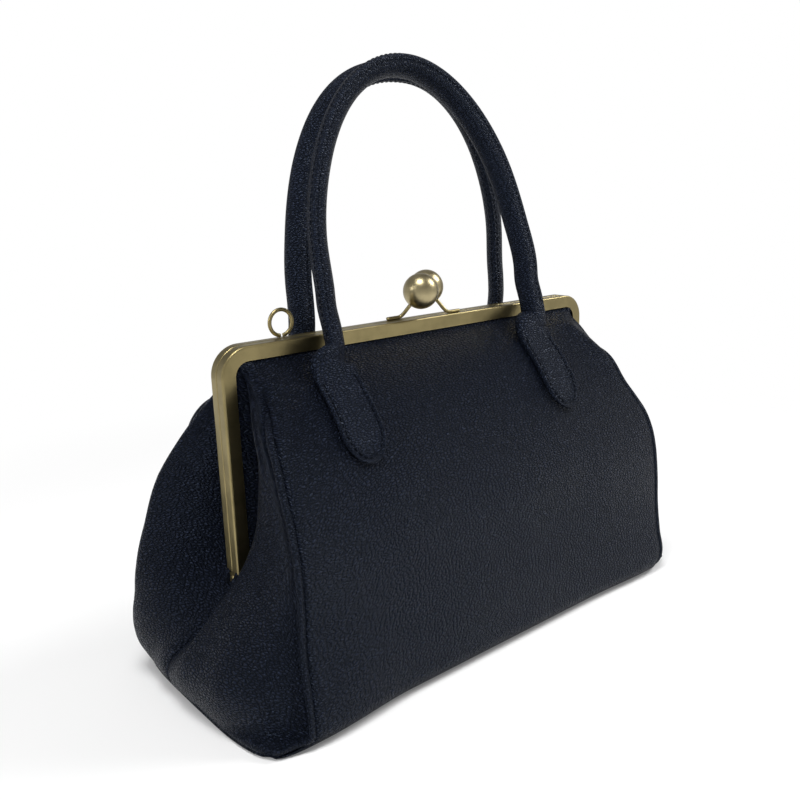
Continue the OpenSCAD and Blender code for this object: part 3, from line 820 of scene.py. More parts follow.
@dataclass
class LeatherBody:
    """Walls, gussets and piping: soft leather that hangs from the frame and stands on its base."""

    palette: Palette
    shape: BodyShape = field(default_factory=BodyShape)
    leather_t: float = 1.7
    wall_cols: int = 111
    wall_rows: int = 150
    gusset_rows: int = 88
    gusset_cols: int = 64

    # The piping lies this deep and this far aside: at mid height, and more at the floor and the shoulder
    piping_r: float = 1.9
    piping_top: float = 162.0
    piping_sink: tuple = (1.1, 1.6, 3.6)
    piping_aside: tuple = (1.5, -3.2, -2.0)
    piping_floor: tuple = (0.5, 6)
    sink_shoulder: tuple = (140, 161)
    aside_shoulder: tuple = (138, 158)

    # Soft forms of the walls
    crowding: float = math.radians(80)
    belly: Band = Band(1.2, (6, 45), (60, 130))
    wave: Band = Band(0.45, (4, 30), (150, 170))
    gather: Band = Band(2.6, (144, 163), (168, 172))
    gather_w: float = 20.0
    pinch: Band = Band(2.4, (120, 146), (160, 171))
    pinch_at: tuple = (104.0, 172.0)
    pinch_slope: float = 0.55
    pinch_w: float = 7.0
    turned_in: float = 1.3
    turned_in_w: float = 1.6
    channel_steps: tuple = ((0.6, 0.9), (2.5, 0.8), (5.2, 0.8))

    # Soft forms of the gussets: creases below the hinge and above it, and how the lower part folds
    fan: Band = Band(1.5, (4, 22), (38, 58))
    ripple: Band = Band(0.4, (70, 90), (120, 140))
    fold_shift: float = 14.0
    fold_fade: tuple = (14, 44)
    fold_places: tuple = (3, 7)
    curl: float = 2.4
    curl_fade: tuple = (2, 11)

    # A gusset's flap under the seam, shares of the way to the lobe and on to the tuck, and the valley
    flap: tuple = (-5.0, 1.3)
    near_share: tuple = (0.50, 0.16)
    crown_share: tuple = (0.90, 0.55)
    flank_share: tuple = (0.36, 0.55)
    lobe_reach: float = 0.8
    channel_fade: tuple = (-6, 3)
    valley_turn: float = -0.35
    inner_runs: tuple = (3.0, 5.6)

    # Half widths and depths of the lobes, of the tuck behind the leg and of the valley's floor, by height
    heights: tuple = (4.6, 17, 27, 36, 45, 55, 66, 87, 118, 145, 163, 172)
    tucked: tuple = (
        (164, 168, 167, 161.5, 155, 148, 141, 135.5, 132.5, 128.5, 121.5, 120),
        (10, 8, 8, 8, 10, 13, 17, 27, 33, 26, 14, 7),
    )
    full: tuple = (
        (163.5, 168.5, 169, 168.5, 168, 166.5, 164, 157.5, 145, 130, 121.5, 120),
        (24, 38, 41, 42, 42, 42, 42, 41, 38, 28, 14, 7),
    )
    tuck: tuple = (
        (165, 167.8, 165, 157, 147.5, 138, 123, 112, 110, 111, 114, 117.5),
        (3, 3, 3.2, 3.5, 4, 5, 9, 11, 11, 10, 8, 5.6),
    )
    floor_x: tuple = (165, 167, 163, 153.5, 143.5, 134.5, 128, 126.4, 126.4, 126.4, 126.4, 121)

    # How far the bottom edge swells at its middle and at its ends
    skirt_across: tuple = (0.5, 0.9)
    skirt_fade: tuple = (6, 52)
    skirts: ClassVar[dict] = {
        Corner.LEFT_FRONT: (2.0, 6.0),
        Corner.RIGHT_FRONT: (2.0, 4.0),
        Corner.LEFT_REAR: (1.0, 2.5),
        Corner.RIGHT_REAR: (1.0, 3.0),
    }
    # How far each seam is pulled out sideways, by height
    pull_heights: tuple = (0, 9, 26, 55, 83, 95, 107, 117, 133, 149, 160, 172.6)
    pulls: ClassVar[dict] = {
        Corner.LEFT_FRONT: (-1, -1.5, -2, -2.5, -2.5, -2.5, -2.5, -2.5, -2.5, -2, 0, 0),
        Corner.RIGHT_FRONT: (-8, 3, 6.5, 11, 12, 11.3, 8.3, 3, -4.2, -3.8, 1.5, 1),
        Corner.LEFT_REAR: (-1, -1, -1, -1, -1, -1, -1, -1, -3, -6, -3, 0),
        Corner.RIGHT_REAR: (0, 1, 2, 3, 3, 2, 0, -3, -7, -8, -3, 0),
    }

    def pull(self, corner: Corner, z: Array) -> Array:
        """How far a corner's seam is pulled out sideways at a height."""
        return through(self.pull_heights, self.pulls[corner], z)

    def skirt(self, corner: Corner, across: Array | float, z: Array) -> Array:
        """How far the bottom edge swells forward, from the middle at 0 to the seam at 1."""
        low, high = self.skirts[corner]
        swell = low + (high - low) * smooth(*self.skirt_across, np.abs(across))
        return swell * (1 - smooth(*self.skirt_fade, z))

    def wall_grid(self, face: Face, offset: float = 0.0, top: float = 1.0) -> Array:
        """The outer face of one wall with its half of the base.

        Args:
            face: front or rear.
            offset: how far the grid lies inside the leather's outer face.
            top: share of the profile that is covered.

        Returns:
            Points by row, from the middle of the base up, and column, from left to right.
        """
        s = self.shape
        rows = resample(s.profile(), self.wall_rows)[: int(self.wall_rows * top)]
        out = s.normals(rows)
        step = np.gradient(rows, axis=0)
        slant = np.linalg.norm(step, axis=1) / np.maximum(np.linalg.norm(step[:, :2], axis=1), 1e-6)
        half = (rows[:, 2] - s.seam_in * 0.9 * slant)[:, None]
        depth, z = rows[:, :1], rows[:, 1:2]
        across = np.sin(np.linspace(-1, 1, self.wall_cols) * self.crowding)[None] / math.sin(self.crowding)
        from_edge = half * (1 - np.abs(across))
        left, right = (c for c in Corner if c.face is face)
        base_part = np.clip(depth / s.arc_y, 0, 1) ** 6
        pull = np.where(across < 0, self.pull(left, z), self.pull(right, z)) * np.abs(across) ** 3
        x = half * across + np.sign(across) * pull * np.where(z < 0.01, base_part, 1)
        pinch_x = self.pinch_at[0] + self.pinch_slope * (self.pinch_at[1] - z)
        push = self.belly.at(z) * np.cos(np.pi / 2 * across)
        push += self.pinch.at(z) * bell(np.abs(x), pinch_x, self.pinch_w)
        push += self.wave.at(z) * np.sin(x / 23 + z / 31) * np.sin(z / 19 - x / 47)
        push -= self.gather.at(z) * np.clip(1 - from_edge / self.gather_w, 0, 1) ** 2
        push -= self.turned_in * np.exp(-from_edge / self.turned_in_w) + offset
        swell = np.where(across < 0, self.skirt(left, across, z), self.skirt(right, across, z))
        y = depth + out[:, :1] * push + swell * base_part
        return np.stack([x, face.value * y, np.maximum(z + out[:, 1:] * push, offset * (z < 1))], axis=2)

    def fold_blend(self, piece: Piece, face: Face) -> None:
        """Bakes a piece's placement into its mesh."""
        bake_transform(piece)

    def wall(self, face: Face) -> None:
        """One wall with half of the base, its top edge carried up into the frame's channel."""
        s = self.shape
        grid = self.wall_grid(face)
        for lift, inside in self.channel_steps:
            row = grid[-1:] * [1, 0, 0] + [0, face.value * (s.grip_y + inside), s.mouth_z + lift]
            grid = np.concatenate([grid, row])
        made = sheet(f"{face.word}_wall_leather", grid, face is Face.FRONT, self.leather_t)
        self.palette.dress(made, "body")
        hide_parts("wrap_panel", f"{face.word}_panel", f"{face.word}_panel_fold")
        self.fold_blend(made, face)

    def section(self, corner: Corner, z: Array) -> Array:
        """A gusset's route at each height, from the seam round the lobe to the leg or the valley.

        Args:
            corner: which quarter.
            z: heights.

        Returns:
            Control points by height, place and (half width, depth).
        """
        s = self.shape
        tucked, full, tuck = (
            np.stack([through(self.heights, values, z) for values in table], axis=1)
            for table in (self.tucked, self.full, self.tuck)
        )
        seam = s.gusset_seam(z) + np.stack([self.pull(corner, z), self.skirt(corner, 1.0, z)], axis=1)
        lobe = tucked * (1 - corner.fullness) + full * corner.fullness
        lobe[:, 1] = np.minimum(lobe[:, 1], seam[:, 1] * self.lobe_reach)
        in_channel = smooth(*self.channel_fade, z - s.hinge_z)
        floor = np.stack([through(self.heights, self.floor_x, z), s.grip_y * in_channel], axis=1)
        into = np.stack([np.where(in_channel > 0.5, 1.0, self.valley_turn), 0 * z], axis=1)
        near, crown = (seam + (lobe - seam) * share for share in (self.near_share, self.crown_share))
        flank = lobe + (tuck - lobe) * self.flank_share
        inner = [floor + run * into for run in self.inner_runs]
        return np.stack([seam + self.flap, seam, near, crown, lobe, flank, tuck, floor, *inner], axis=1)

    def creases(self, y: Array, z: Array, fullness: float) -> Array:
        """How far soft creases push a gusset outwards, from where it is gathered at the hinge."""
        down = self.shape.hinge_z - z
        fan = self.fan.at(down) * np.sin(np.arctan2(y, np.maximum(down, 4)) * 7.0 + 0.6)
        ripple = self.ripple.at(z) * np.sin(z / 6.5 + y / 9)
        return fan * (0.4 + 0.6 * fullness) + ripple * (0.3 + 0.7 * fullness)

    def gusset_grid(self, corner: Corner, inset: float = 0.0) -> Array:
        """The middle of a quarter gusset's leather.

        Args:
            corner: which quarter.
            inset: how far inside the leather the grid lies.

        Returns:
            Points by row, from the floor up, and column, from the seam inwards.
        """
        s = self.shape
        z = np.linspace(s.gusset_in - 1.5, s.mouth_z - 0.8, self.gusset_rows)
        control = self.section(corner, z).swapaxes(0, 1)
        at = np.linspace(0, len(control) - 1, self.gusset_cols)
        x, y = np.moveaxis(through(np.arange(len(control)), control, at), (2, 1, 0), (0, 1, 2))
        z = np.repeat(z[:, None], len(at), axis=1)
        x = x + self.creases(y, z, corner.fullness) * np.sin(np.pi * np.clip((at - 1) / 6.0, 0, 1))
        x = x - self.curl * (1 - smooth(*self.curl_fade, z)) ** 2
        if corner.side < 0:
            shift = self.fold_shift * (1 - smooth(*self.fold_fade, z)) * smooth(*self.fold_places, at)
            y = y + corner.face.value * shift
        grid = np.stack([x, y, z], axis=2)
        if inset:
            normal = unit(np.cross(np.gradient(grid, axis=0), np.gradient(grid, axis=1)))
            grid = grid - normal * np.sign(np.median(normal[..., 0])) * inset
        return grid * corner.signs

    def gusset(self, corner: Corner) -> None:
        """A quarter gusset, from its seam to the middle fold and the frame's leg."""
        name = f"{corner.hand}_{corner.face.word}_gusset_leather"
        made = sheet(name, self.gusset_grid(corner), corner.turned, self.leather_t, offset=0)
        self.palette.dress(made, "body")
        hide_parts(f"{corner.hand}_gusset", f"{corner.face.word}_gusset_folds")
        self.lean_blend(made, corner.face)

    def lean_blend(self, piece: Piece, face: Face) -> None:
        """Works out the line between the still belly and the frame's leg, but only bakes the gusset piece's
        placement into its mesh.
        """
        s = self.shape
        low = np.array([s.fold_y, s.fold_z])
        still = np.array([0.0, s.hinge_z - 20])
        along = unit(still - low)
        across = np.array([-along[1], along[0]])
        across = across * np.sign(across[1])
        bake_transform(piece)

    def piping(self, corner: Corner) -> None:
        """A quarter of the piping, from under the base up to the panel's shoulder."""
        rows = resample(self.shape.profile(), self.wall_rows)
        out = self.shape.normals(rows)
        z = rows[:, 1]
        edge = self.wall_grid(corner.face)[:, 0 if corner.side < 0 else -1] * corner.signs
        even, floor = np.ones_like(z), 1 - smooth(*self.piping_floor, z)
        sink = np.dot(self.piping_sink, [even, floor, smooth(*self.sink_shoulder, z)])
        aside = np.dot(self.piping_aside, [even, floor, smooth(*self.aside_shoulder, z)])
        centre = edge + np.stack([aside, -out[:, 0] * sink, -out[:, 1] * sink], axis=1)
        centre[:, 2] = np.maximum(centre[:, 2], self.piping_r)
        centre = centre[z < self.piping_top]
        ahead = unit(np.gradient(centre, axis=0))
        first = unit(np.array([1.0, 0, 0]) - ahead[:, :1] * ahead)
        angles = np.radians(np.arange(0, 360, 20))[None]
        a, b = self.piping_r * np.cos(angles), self.piping_r * np.sin(angles)
        rings = rings_round(centre, first, np.cross(ahead, first), a, b) * corner.signs
        made = loft(f"{corner.hand}_{corner.face.word}_piping_cord", rings, corner.turned)
        self.palette.dress(made, "piping")
        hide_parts(f"{corner.hand}_piping", f"{corner.face.word}_side_piping")
        self.fold_blend(made, corner.face)

    def build(self) -> None:
        """Makes every piece of the body."""
        for face in Face:
            self.wall(face)
        for corner in Corner:
            self.gusset(corner)
            self.piping(corner)


@dataclass
class Lining:
    """Cotton lining and a slip pocket inside the leather."""

    palette: Palette
    body: LeatherBody
    cloth_t: float = 0.6
    wall_gap: float = 3.8
    wall_top: float = 0.93
    wall_share: float = 0.965
    gusset_gap: float = 3.4
    pocket_w: float = 150.0
    pocket_top: float = 66.0
    pocket_low: float = 17.0
    pocket_gap: float = 6.0
    pocket_sag: float = 0.8
    hem_rise: float = 0.5
    hem_back: float = 1.0
    hem_in: float = 1.2

    def build(self) -> None:
        """Makes the wall linings, the gusset linings and the pocket."""
        for face in Face:
            grid = self.body.wall_grid(face, offset=self.wall_gap, top=self.wall_top)[::2, ::2]
            grid[..., 0] *= self.wall_share
            made = sheet(f"{face.word}_lining_cloth", grid, face is Face.FRONT, self.cloth_t)
            self.palette.dress(made, "lining")
            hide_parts(f"{face.word}_lining", "tub_lining")
            self.body.fold_blend(made, face)
        for corner in Corner:
            grid = self.body.gusset_grid(corner, inset=self.gusset_gap)[6:-10:2, 8:46:2]
            name = f"{corner.hand}_{corner.face.word}_gusset_lining"
            made = sheet(name, grid, corner.turned, self.cloth_t, offset=0)
            self.palette.dress(made, "lining")
            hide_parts("tub_lining")
            self.body.lean_blend(made, corner.face)
        self.pocket()

    def pocket(self) -> None:
        """The slip pocket on the rear wall's lining, with a turned hem."""
        top = self.pocket_top
        z = np.append(np.linspace(self.pocket_low, top, 24), [top + self.hem_rise, top - self.hem_back])
        sag = self.pocket_sag * np.sin(np.clip((z - self.pocket_low) / 50, 0, 1) * np.pi)
        depth = self.body.shape.wall_depth(z) - self.pocket_gap - sag
        depth[-1] += self.hem_in
        x = np.linspace(-self.pocket_w / 2, self.pocket_w / 2, 40)
        x, z = np.meshgrid(x, z)
        y = depth[:, None] + 0.5 * np.abs(x / self.pocket_w * 2) ** 8
        made = sheet("slip_pocket_cloth", np.stack([x, y, z], axis=2), False, self.cloth_t)
        self.palette.dress(made, "lining")
        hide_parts("slip_pocket")
        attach(made, STATIC)


# Handles


@dataclass
class Handles:
    """Two rolled leather handles with their sewn tabs, their cords and their stitches."""

    palette: Palette
    shape: BodyShape
    span: float = 149.0
    rise: float = 136.0
    straight: float = 25.0
    sag_from: float = 14.0
    long_half: float = 6.6
    short_half: float = 4.95
    fin: float = 1.3
    fin_spread: float = 0.36
    seam_turn: float = math.radians(-45)
    tab_half: float = 12.9
    tab_tip: float = 18.0
    tab_aside: float = 5.0
    tab_t: float = 2.5
    tab_drop: float = 59.0
    tab_end: float = 19.0
    tab_long: float = 47.0
    core_r: float = 3.2
    strand_r: float = 0.2
    strand_turn: float = 0.35
    lift: float = 0.6
    foot_lift: float = 6.0
    pivot_z: float = 171.05
    pivot_y: float = 28.6
    bend_reach: float = 9.0
    stitch_pitch: float = 3.3
    stitch_long: float = 2.3
    thread_w: float = 0.75
    stitch_in: float = 2.7
    seam_rows: tuple = (-0.42, 0.42)
    sides: int = 48
    count: int = 300

    # Between which distances from its tip a tab narrows and thickens into the roll
    wide_neck: tuple = (54.0, 66.0)
    thick_neck: tuple = (42.0, 58.0)

    # Raised rim and stitched groove of a tab: height, distance from the rim and width
    rim: tuple = (0.7, 1.1, 0.8)
    groove: tuple = (-0.55, 2.7, 0.7)

    # How the legs lean, as depth towards the outside by height above the frame's top edge
    lean_up: tuple = (-5, 4, 14, 25, 50, 90, 136)
    leans: ClassVar[dict] = {
        Face.FRONT: (16.2, 13.8, 10.4, 9.2, 3.1, -3.5, -11.5),
        Face.REAR: (16.2, 14.8, 14.9, 16, 16.8, 21.5, 29.5),
    }
    # How far an arch sags sideways and how square its shoulders stand
    drift: ClassVar[dict] = {Face.FRONT: -4.0, Face.REAR: 7.0}
    square: ClassVar[dict] = {Face.FRONT: 2.0, Face.REAR: 2.25}

    def wall_line(self, t: Array, off: Array) -> Array:
        """Depth and height on an upper wall, raised off its outer face."""
        ahead = unit(self.shape.upper(t + 0.005) - self.shape.upper(t - 0.005))
        return self.shape.upper(t) + np.stack([ahead[:, 1], -ahead[:, 0]], axis=1) * off[:, None]

    def leg(self, face: Face) -> Array:
        """Rows of depth and height along one leg, from the tab's tip to where the arch begins."""
        top = self.shape.frame_top
        t = np.linspace(0, 1, 800)
        heights = (top - self.tab_drop, top - self.tab_end)
        low, high = np.interp(heights, self.shape.upper(t)[:, 1], t)
        share = np.linspace(0, 1, 30)
        rise = (self.foot_lift - self.tab_t / 2) * smooth(*self.thick_neck, share * self.tab_long)
        tab = self.wall_line(low + (high - low) * share, self.lift + self.tab_t / 2 + rise)
        bend = tab[-1] + 5 * unit(tab[-1] - tab[-3])
        rest = np.stack([self.leans[face], np.add(top, self.lean_up)], axis=1)[:3]
        return np.concatenate([tab, bend[None], rest])

    def route(self, face: Face) -> tuple[Array, Array]:
        """The whole centre line, right tab to left tab.

        Args:
            face: front or rear handle.

        Returns:
            Points, close together round the tips and else evenly spaced, and each one's distance
            from the nearer tip.
        """
        a = np.radians(np.linspace(0, 180, 90))
        power = 2 / self.square[face]
        up = self.straight + (self.rise - self.straight) * np.abs(np.sin(a)) ** power
        sag = self.drift[face] * (np.maximum(0, up - self.sag_from) / (self.rise - self.sag_from)) ** 1.5
        arch_x = self.span / 2 * np.sign(np.cos(a)) * np.abs(np.cos(a)) ** power + sag
        arch_y = through(self.lean_up, self.leans[face], up)
        arch = np.stack([arch_x, arch_y, self.shape.frame_top + up], axis=1)
        right = np.insert(self.leg(face), 0, self.span / 2, axis=1)
        points = np.concatenate([right, arch, (right * np.array([-1, 1, 1]))[::-1]])
        run = lengths(points)
        tip = self.tab_tip * (1 - np.cos(np.radians(np.linspace(0, 90, 16, endpoint=False))))
        plain = np.linspace(self.tab_tip, run[-1] - self.tab_tip, self.count)
        at = np.concatenate([tip, plain, run[-1] - tip[::-1]])
        near = np.minimum(at, run[-1] - at)
        line = through(run, points, at)
        line[:, 0] += face.value * self.tab_aside * (1 - smooth(*self.wide_neck, near))
        return line * np.array([1, face.value, 1]), near

    def frames(self, points: Array, face: Face) -> tuple[Array, Array]:
        """Directions across a route: away from the arch's middle, and towards the purse."""
        ahead = unit(np.gradient(points, axis=0))
        outward = unit(np.cross(np.array([0.0, 1.0, 0.0]), ahead))
        return outward, np.cross(ahead, outward) * -face.value

    def fin_at(self, face: Face) -> float:
        """The angle at which the roll's sewn fin stands out."""
        return 0.0 if face is Face.FRONT else math.pi

    def section_points(self, face: Face, theta: Array, grow: float = 0.0) -> Array:
        """Points of the leather's outer face.

        Args:
            face: front or rear handle.
            theta: angles round the section.
            grow: how far outside the face the points lie.

        Returns:
            Points by place along the handle and by angle.
        """
        points, near = self.route(face)
        from_tip = (self.tab_tip - np.minimum(near, self.tab_tip)) / (self.tab_tip + 0.06)
        width = (self.tab_half * np.sqrt(np.clip(1 - from_tip**2, 0.002, 1)))[:, None]
        share = width / self.tab_half
        along = smooth(*self.wide_neck, near)[:, None]
        thick = smooth(*self.thick_neck, near)[:, None]
        long_half = width * (1 - along) + self.long_half * along + grow
        short_half = self.tab_t / 2 * (1 - thick) + self.short_half * thick + grow
        short_half = short_half * (thick + (1 - thick) * np.clip(share, 0.15, 1) ** 0.5)
        power = 0.5 + 0.5 * np.maximum(along, thick * 0.7)
        cos, sin = np.cos(theta)[None], np.sin(theta)[None]
        away = np.abs((theta - self.fin_at(face) + math.pi) % (2 * math.pi) - math.pi)[None]
        fin = self.fin * bell(away, 0, self.fin_spread) * along**2
        u = np.sign(cos) * (np.abs(cos) ** power * long_half + fin)
        v = np.sign(sin) * np.abs(sin) ** power * short_half
        flat = (1 - along) * (1 - thick) * np.clip(share, 0, 1) ** 2
        relief = sum(amount * bell(width - np.abs(u), at, w) for amount, at, w in (self.rim, self.groove))
        v = v + np.sign(sin) * relief * flat * (np.abs(sin) > 0.1)
        turn = self.seam_turn * along
        a, b = u * np.cos(turn) - v * np.sin(turn), u * np.sin(turn) + v * np.cos(turn)
        return rings_round(points, *self.frames(points, face), a, b)

    def bend(self, piece: Piece, face: Face) -> None:
        """Bakes a piece of the handle's placement into its mesh."""
        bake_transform(piece)

    def leather(self, face: Face) -> None:
        """The roll and both tabs in one skin, bending over the top of the tabs."""
        theta = np.radians(np.linspace(0, 360, self.sides, endpoint=False))
        made = loft(f"{face.word}_handle_leather", self.section_points(face, theta), face is Face.REAR)
        self.palette.dress(made, "handle")
        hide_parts(f"{face.word}_handle", f"{face.word}_handle_tabs")
        self.bend(made, face)

    def core(self, face: Face) -> None:
        """The cord inside the roll, with ten corners that wind along it as strands."""
        points, near = self.route(face)
        points = points[near > self.wide_neck[1] - 4]
        theta = np.radians(np.arange(0, 360, 36))[None]
        twist = theta + np.arange(len(points))[:, None] * self.strand_turn
        r = self.core_r + self.strand_r * np.cos(3 * theta)
        rings = rings_round(points, *self.frames(points, face), r * np.cos(twist), r * np.sin(twist))
        made = loft(f"{face.word}_handle_cord", rings, face is Face.REAR)
        self.palette.dress(made, "cord")
        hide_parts(f"{face.word}_handle_core")
        self.bend(made, face)

    def stitch_row(self, line: Array, normal: Array) -> tuple[Array, Array]:
        """Stitches along a line on the leather.

        Args:
            line: points of the line.
            normal: the leather's direction at each of them.

        Returns:
            First and last points of the stitches, and their directions.
        """
        run = lengths(line)
        start = np.arange(0.8, run[-1] - self.stitch_long, self.stitch_pitch)
        first, last, out = (
            np.stack([np.interp(at, run, values[:, i]) for i in range(3)], axis=1)
            for at, values in ((start, line), (start + self.stitch_long, line), (start, normal))
        )
        return np.stack([first, last], axis=1), unit(out)

    def stitches(self, face: Face) -> None:
        """Stitches round both tabs and along the roll's seam."""
        points, near = self.route(face)
        outward, inner = self.frames(points, face)
        to_tip = (self.tab_tip - np.minimum(near, self.tab_tip)) / (self.tab_tip - self.stitch_in)
        thick = smooth(*self.thick_neck, near)
        inset = (self.tab_half - self.stitch_in) * np.sqrt(np.clip(1 - to_tip**2, 0, 1)) - 2.0 * thick
        lift = self.tab_t / 2 * (1 - thick) + self.short_half * 0.86 * thick - 0.1
        raised = points - inner * lift[:, None]
        on_tab = (near > self.stitch_in + 0.1) & (near < self.thick_neck[0] + 7)
        rows = []
        for tab in np.split(np.nonzero(on_tab)[0], 2):
            order = tab if points[tab[0], 2] < points[tab[-1], 2] else tab[::-1]
            aside = outward[order] * inset[order][:, None]
            line = np.concatenate([(raised[order] - aside)[::-1], raised[order] + aside])
            rows.append(self.stitch_row(line, -inner[np.append(order[::-1], order)]))
        keep = near > self.wide_neck[1] + 2
        for turn in self.seam_rows:
            theta = np.array([self.fin_at(face) + turn])
            line = self.section_points(face, theta)[:, 0]
            out = unit(self.section_points(face, theta, grow=1.0)[:, 0] - line)
            rows.append(self.stitch_row(line[keep], out[keep]))
        ends, outs = (np.concatenate(part) for part in zip(*rows))
        made = capsules(f"{face.word}_handle_stitches", ends, outs, self.thread_w)
        self.palette.dress(made, "thread")
        self.bend(made, face)

    def build(self) -> None:
        """Makes both handles."""
        for face in Face:
            self.leather(face)
            self.core(face)
            self.stitches(face)


# Metal and hidden stiff pieces


@dataclass
class CadDressing:
    """Finishes of the CAD pieces that keep their shape."""

    palette: Palette
    pieces: ClassVar[dict] = {
        "brass": ("front_frame_rail", "rear_frame_rail", "hinge_rivets", "strap_rings"),
        "ball": ("front_clasp_ball", "rear_clasp_ball"),
        "paper": ("front_grip_cord", "rear_grip_cord"),
        "board": ("base_board",),
    }

    def build(self) -> None:
        """Gives each kept node its material."""
        for key, names in self.pieces.items():
            for name in names:
                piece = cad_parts[name]
                self.palette.coat(piece, key)
                for polygon in piece.data.polygons:
                    polygon.material_index = 0
                log.info("dressed %s", name)


@dataclass
class Clasp:
    """The bent wires of the kiss lock, each from its foot on one rail to its ball."""

    palette: Palette
    wire_r: float = 1.05
    foot_out: float = 25.2
    foot_in: float = 14.6
    foot_long: tuple = (8.0, 12.0)
    foot_wide: float = 0.25
    foot_thin: float = 0.08
    rail_y: float = -3.05
    top_z: float = 180.0
    ball_at: tuple = (7.81, 6.56, 195.6)
    into_ball: float = 7.6
    bend_low: tuple = (2.6, 0.6)
    bend_high: tuple = (1.4, 4.2)

    def wire(self) -> Array:
        """The front wire's centre line, along the rail and up into the far ball."""
        low = self.top_z + self.wire_r * 0.92
        outer, knee = (np.array([x, self.rail_y, low]) for x in (self.foot_out, self.foot_in))
        climb = unit(np.array(self.ball_at) - knee)
        before, nearer = (knee + (x, 0, 0) for x in self.bend_low)
        after, rise = (knee + climb * reach for reach in self.bend_high)
        flat = np.linspace(outer, before, 10, endpoint=False)
        bend = bezier(before, nearer, after, rise, np.linspace(0, 1, 12, endpoint=False))
        up = np.linspace(rise, self.ball_at - climb * self.into_ball, 10)
        return np.concatenate([flat, bend, up])

    def build(self) -> None:
        """Makes both wires, the rear one turned half round."""
        line = resample(self.wire(), 60)
        ahead = unit(np.gradient(line, axis=0))
        side = unit(np.cross(ahead, [0.0, 0.3, 1.0]))
        run = lengths(line)[:, None]
        flat = 1 - smooth(*self.foot_long, run)
        r = self.wire_r * np.sqrt(np.clip(1 - (1 - np.minimum(run / 0.9, 1)) ** 2, 0.03, 1))
        angles = np.radians(np.arange(0, 360, 20))[None]
        wide, tall = r * (1 + self.foot_wide * flat), r * (1 - self.foot_thin * flat)
        rings = rings_round(line, side, np.cross(side, ahead), wide * np.cos(angles), tall * np.sin(angles))
        for face in Face:
            made = loft(f"{face.word}_clasp_wire", rings * np.array([-face.value, -face.value, 1]), True)
            self.palette.dress(made, "brass")
            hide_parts(f"{face.word}_clasp_stalk")
            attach(made, face.half)


# The studio


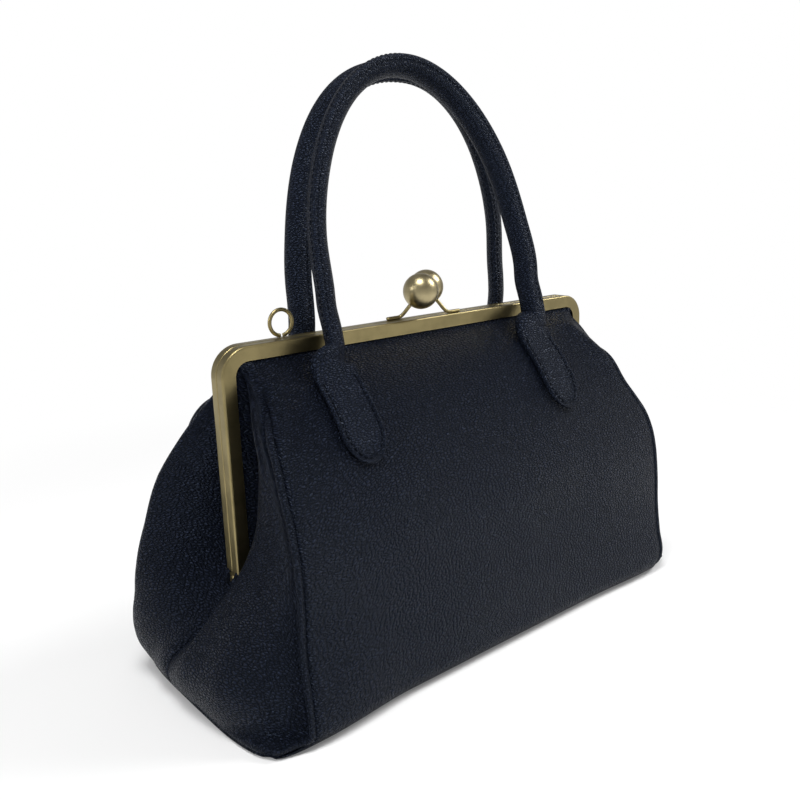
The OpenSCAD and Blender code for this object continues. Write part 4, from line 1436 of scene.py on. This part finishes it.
@dataclass
class Studio:
    """Pale floor, soft lamps, white surroundings and the photograph's camera."""

    camera_at: tuple = (-318.06, -363.05, 251.87)
    azimuth: float = 39.40
    pitch: float = 14.10
    roll: float = -1.745
    lens: float = 37.98
    sensor: float = 36.0
    ambient: float = 0.28
    floor_half: float = 3000.0
    floor_mirrored: float = 0.4
    floor_fade: tuple = (0.22, 0.6, 0.12)

    # Name, place and aim in metres, side in metres and power in watts
    lamps: tuple = (
        ("overhead softbox", (-0.35, -0.25, 1.3), (0, 0, 0.1), 0.5, 10.5),
        ("left softbox", (-1.4, 0.15, 0.75), (0, 0, 0.1), 0.5, 7.0),
        ("right softbox", (0.95, -0.45, 0.95), (0, 0, 0.14), 0.5, 11.0),
    )

    @staticmethod
    def seen(graph: Graph, path: Node, level: object) -> Socket:
        """One for the camera, and a level for what is mirrored."""
        mirrored = graph.math("MULTIPLY", path.outputs["Is Glossy Ray"], level)
        return graph.math("MAXIMUM", path.outputs["Is Camera Ray"], mirrored)

    def world(self) -> None:
        """Soft even light, seen as white behind the object."""
        made = bpy.data.worlds.new("studio")
        bpy.context.scene.world = made
        graph = emptied(made)
        path = graph.node("LightPath")
        place = graph.node("TexCoord").outputs["Generated"]
        height = graph.math("ABSOLUTE", graph.node("SeparateXYZ", {0: place}).outputs[2])
        level = graph.math("SUBTRACT", 0.5, graph.math("MULTIPLY", graph.step(height, 0.1, 0.5), 0.5))
        seen = graph.math("MAXIMUM", self.seen(graph, path, level), path.outputs["Is Transmission Ray"])
        strength = graph.line(seen, 1.0 - self.ambient, self.ambient)
        light = graph.node("Background", {"Color": (1, 1, 1, 1), "Strength": strength})
        graph.node("OutputWorld", {"Surface": light.outputs[0]})

    def floor(self) -> None:
        """A pale floor that fades into the white surroundings."""
        corners = np.array([[-1, -1, 0], [1, -1, 0], [1, 1, 0], [-1, 1, 0]]) * self.floor_half
        made = make_object("studio_floor", corners, [(0, 1, 2, 3)])
        stuff = bpy.data.materials.new("pale floor")
        graph = emptied(stuff)
        inputs = {"Base Color": (0.95, 0.95, 0.95, 1), "Roughness": 0.7, "Specular IOR Level": 0.1}
        paint = graph.node("BsdfPrincipled", inputs)
        white = graph.node("Emission", {"Color": (1, 1, 1, 1), "Strength": 1.0})
        away = graph.node("VectorMath", {0: graph.place()}, operation="LENGTH").outputs["Value"]
        seen = self.seen(graph, graph.node("LightPath"), self.floor_mirrored)
        far = graph.math("MULTIPLY", graph.step(away, *self.floor_fade), seen)
        both = graph.node("MixShader", {0: far, 1: paint.outputs[0], 2: white.outputs[0]})
        graph.node("OutputMaterial", {"Surface": both.outputs[0]})
        made.data.materials.append(stuff)

    def lamp(self, name: str, at: tuple, aim: tuple, size: float, power: float) -> None:
        """A soft square lamp.

        Args:
            name: the lamp's name.
            at: its place in metres.
            aim: the point it faces.
            size: its side in metres.
            power: its power in watts.
        """
        data = bpy.data.lights.new(name, "AREA")
        data.shape = "SQUARE"
        data.size = size
        data.energy = power
        made = add_object(name, data)
        made.location = at
        made.rotation_euler = (Vector(aim) - Vector(at)).to_track_quat("-Z", "Y").to_euler()

    def camera(self) -> None:
        """The camera of the photograph, from its fitted place and turn."""
        a, p, r = (math.radians(v) for v in (self.azimuth, self.pitch, self.roll))
        ahead = Vector((math.sin(a) * math.cos(p), math.cos(a) * math.cos(p), -math.sin(p)))
        right = Vector((math.cos(a), -math.sin(a), 0))
        up = right.cross(ahead)
        image_right = right * math.cos(r) + up * math.sin(r)
        image_up = up * math.cos(r) - right * math.sin(r)
        data = bpy.data.cameras.new("photo_camera")
        data.lens = self.lens
        data.sensor_width = self.sensor
        data.clip_start = 0.01
        made = add_object("photo_camera", data)
        turn = Matrix((image_right, image_up, -ahead)).transposed().to_4x4()
        made.matrix_world = Matrix.Translation(Vector(self.camera_at) * MM) @ turn
        bpy.context.scene.camera = made

    def build(self) -> None:
        """Sets up floor, lamps, world and camera."""
        bpy.context.scene.view_settings.view_transform = "Standard"
        self.world()
        self.floor()
        for lamp in self.lamps:
            self.lamp(*lamp)
        self.camera()


def main() -> None:
    """Builds the purse piece by piece, then the studio."""
    logging.basicConfig(level=logging.INFO, format="%(message)s")
    palette = Palette()
    body = LeatherBody(palette)
    Studio().build()
    body.build()
    Lining(palette, body).build()
    Handles(palette, body.shape).build()
    Clasp(palette).build()
    CadDressing(palette).build()


if __name__ == "__main__":
    main()
